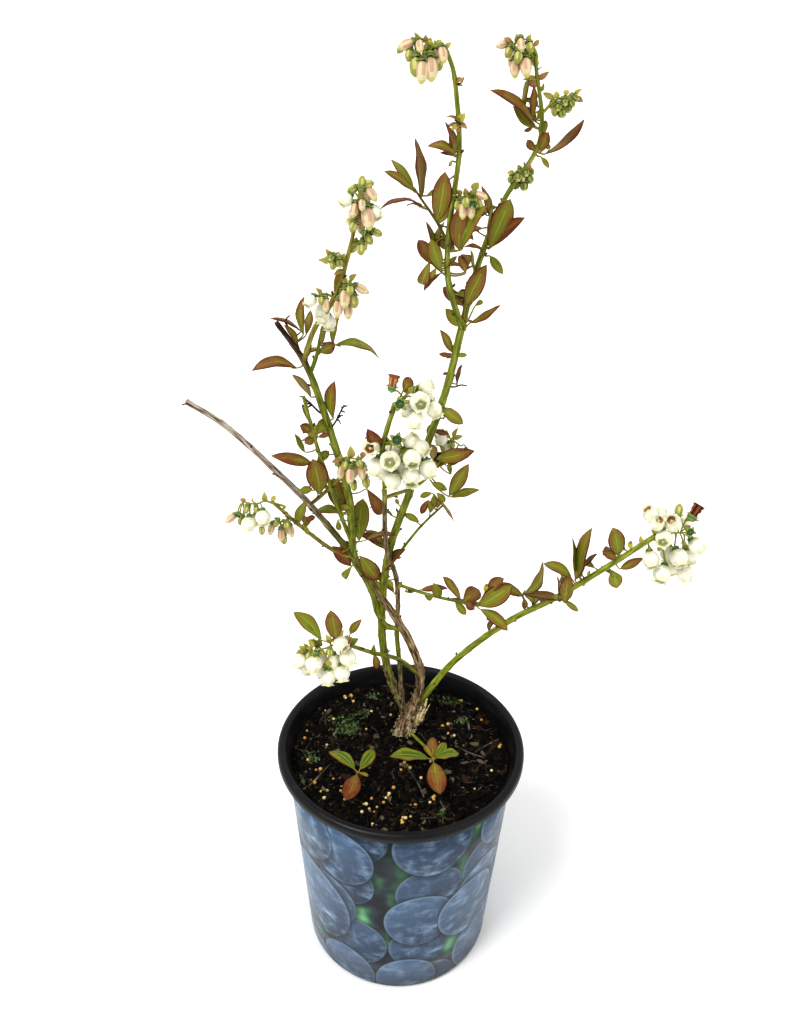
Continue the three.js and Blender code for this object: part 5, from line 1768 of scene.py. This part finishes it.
for limb, way, flowers in RACEMES:
    joint = limb_point(limb, *way[0])
    axis = [joint] + [at_depth(x, y, joint.y + grown.uniform(-1, 1) * MM) for x, y in way]
    axis_way = strand(stalk_ways, axis, AXIS_THICK, AXIS_THIN, step=1 * MM)
    carriers.setdefault(limb, list(lines[limb])).extend(axis_way)
    for kind, x, y, lean, nearer, size, facing in flowers:
        is_bud = kind in BUD_KINDS
        size *= BUD_SIZE if is_bud else BELL_SIZE
        middle = at_depth(x, y, joint.y - nearer * MM)
        towards = (CAMERA_PLACE - middle).normalized()
        lean = math.radians(lean)
        across = (right * math.sin(lean) - up * math.cos(lean)).normalized()
        mouth = (across * (1 - abs(facing)) + towards * facing + DROOP).normalized()
        turn = mouth.to_track_quat("-Z", "Y").to_matrix().to_4x4()
        turn = turn @ Matrix.Rotation(grown.uniform(*ANY_TURN), 4, "Z")
        top = middle - mouth * (FLOWER_DROP[kind] * size * MM)
        place = Matrix.Translation(top) @ turn @ Matrix.Scale(size, 4)
        planted(buds if is_bud else bells, FLOWERS[kind], place)
        root = min(axis_way, key=lambda p: (p - top).length)
        back = top - mouth * (CUP_LENGTH * size * MM)
        bend = root.lerp(back, 0.55) + Vector((0, 0, 0.25)) * (back - root).length
        carriers[limb] += strand(stalk_ways, [root, bend, back], FLOWER_STALK, AXIS_THIN, step=1 * MM)

bell_piece = shown("blossom_bells", bells, petal_materials)
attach(bell_piece, "root")
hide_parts("left_fork_blossom", "fork_blossom", "right_fork_blossom", "middle_upper_blossom",
            "middle_blossom", "flowering_tip_blossom", "flowering_tip_side_blossom", "left_twig_blossom",
            "left_twig_side_blossom", "low_twig_blossom", "right_cane_blossom")
bud_piece = shown("blossom_buds", buds, petal_materials)
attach(bud_piece, "root")
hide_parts("bud_twig_buds")

bract_materials = [grainy(f"bract_{tone}", colour, 0.55, 400, (0.45, 0.7)) for tone, colour in BRACT_TONES]
bract_shape = bmesh.new()
for limb, (x, y, way, length, tone) in [(limb, row) for limb, rows in BRACTS for row in rows]:
    joint = min(carriers[limb], key=lambda p: (in_picture(p) - Vector((x, y))).length)
    aside = at_depth(x, y, joint.y - grown.uniform(-0.5, 1.5) * MM) - joint
    way = math.radians(way)
    run = right * math.cos(way) + up * math.sin(way) - ahead * grown.uniform(-0.5, 0.9)
    run = aside + run.normalized() * (0.7 * length * MM)
    reach = min(run.length, BRACT_LIMIT)
    run.normalize()
    towards = -ahead + 0.5 * Vector([grown.gauss(0, 1) for _ in range(3)])
    towards = (towards - run * towards.dot(run)).normalized()
    side = run.cross(towards)
    blade = bmesh.ops.create_grid(bract_shape, x_segments=4, y_segments=5, size=1)["verts"]
    for vert in blade:
        share = (vert.co.y + 1) / 2
        belly = math.sin(math.pi * min(1, share ** 0.75))
        half = 0.27 * length * MM * max(0.08, belly ** 0.8)
        cup = 0.45 * abs(vert.co.x) * half + 0.10 * length * MM * (1 - (2 * share - 1) ** 2)
        vert.co = joint + run * (share * reach) + side * (vert.co.x * half) + towards * cup
    painted(blade, tone)
bracts = shown("blossom_bracts", bract_shape, bract_materials)
thickened(bracts, BRACT_THICKNESS)
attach(bracts, "root")

# The stalks of the flowers and leaves, and the fine twigs that carry some of them.
flower_stalk_green = grainy("flower_stalk_green", (0.30, 0.31, 0.05), 0.5, 500, (0.4, 0.65), specular=0.2)
leaf_stalk_green = grainy("leaf_stalk_green", (0.25, 0.20, 0.035), 0.5, 500, (0.4, 0.65), specular=0.2)
flower_stalks = strands_shown(stalk_ways, "flower_stalks", [flower_stalk_green])
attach(flower_stalks, "root")
leaf_stalks = strands_shown(stalks, "leaf_stalks", [leaf_stalk_green])
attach(leaf_stalks, "root")
twig_bark = grainy("twig_bark", (0.10, 0.085, 0.020), 0.6, 500, (0.5, 0.75), specular=0.2,
                   relief=(1500,), strength=0.5)
twigs = strands_shown(fine_twigs, "fine_twigs", [twig_bark])
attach(twigs, "root")
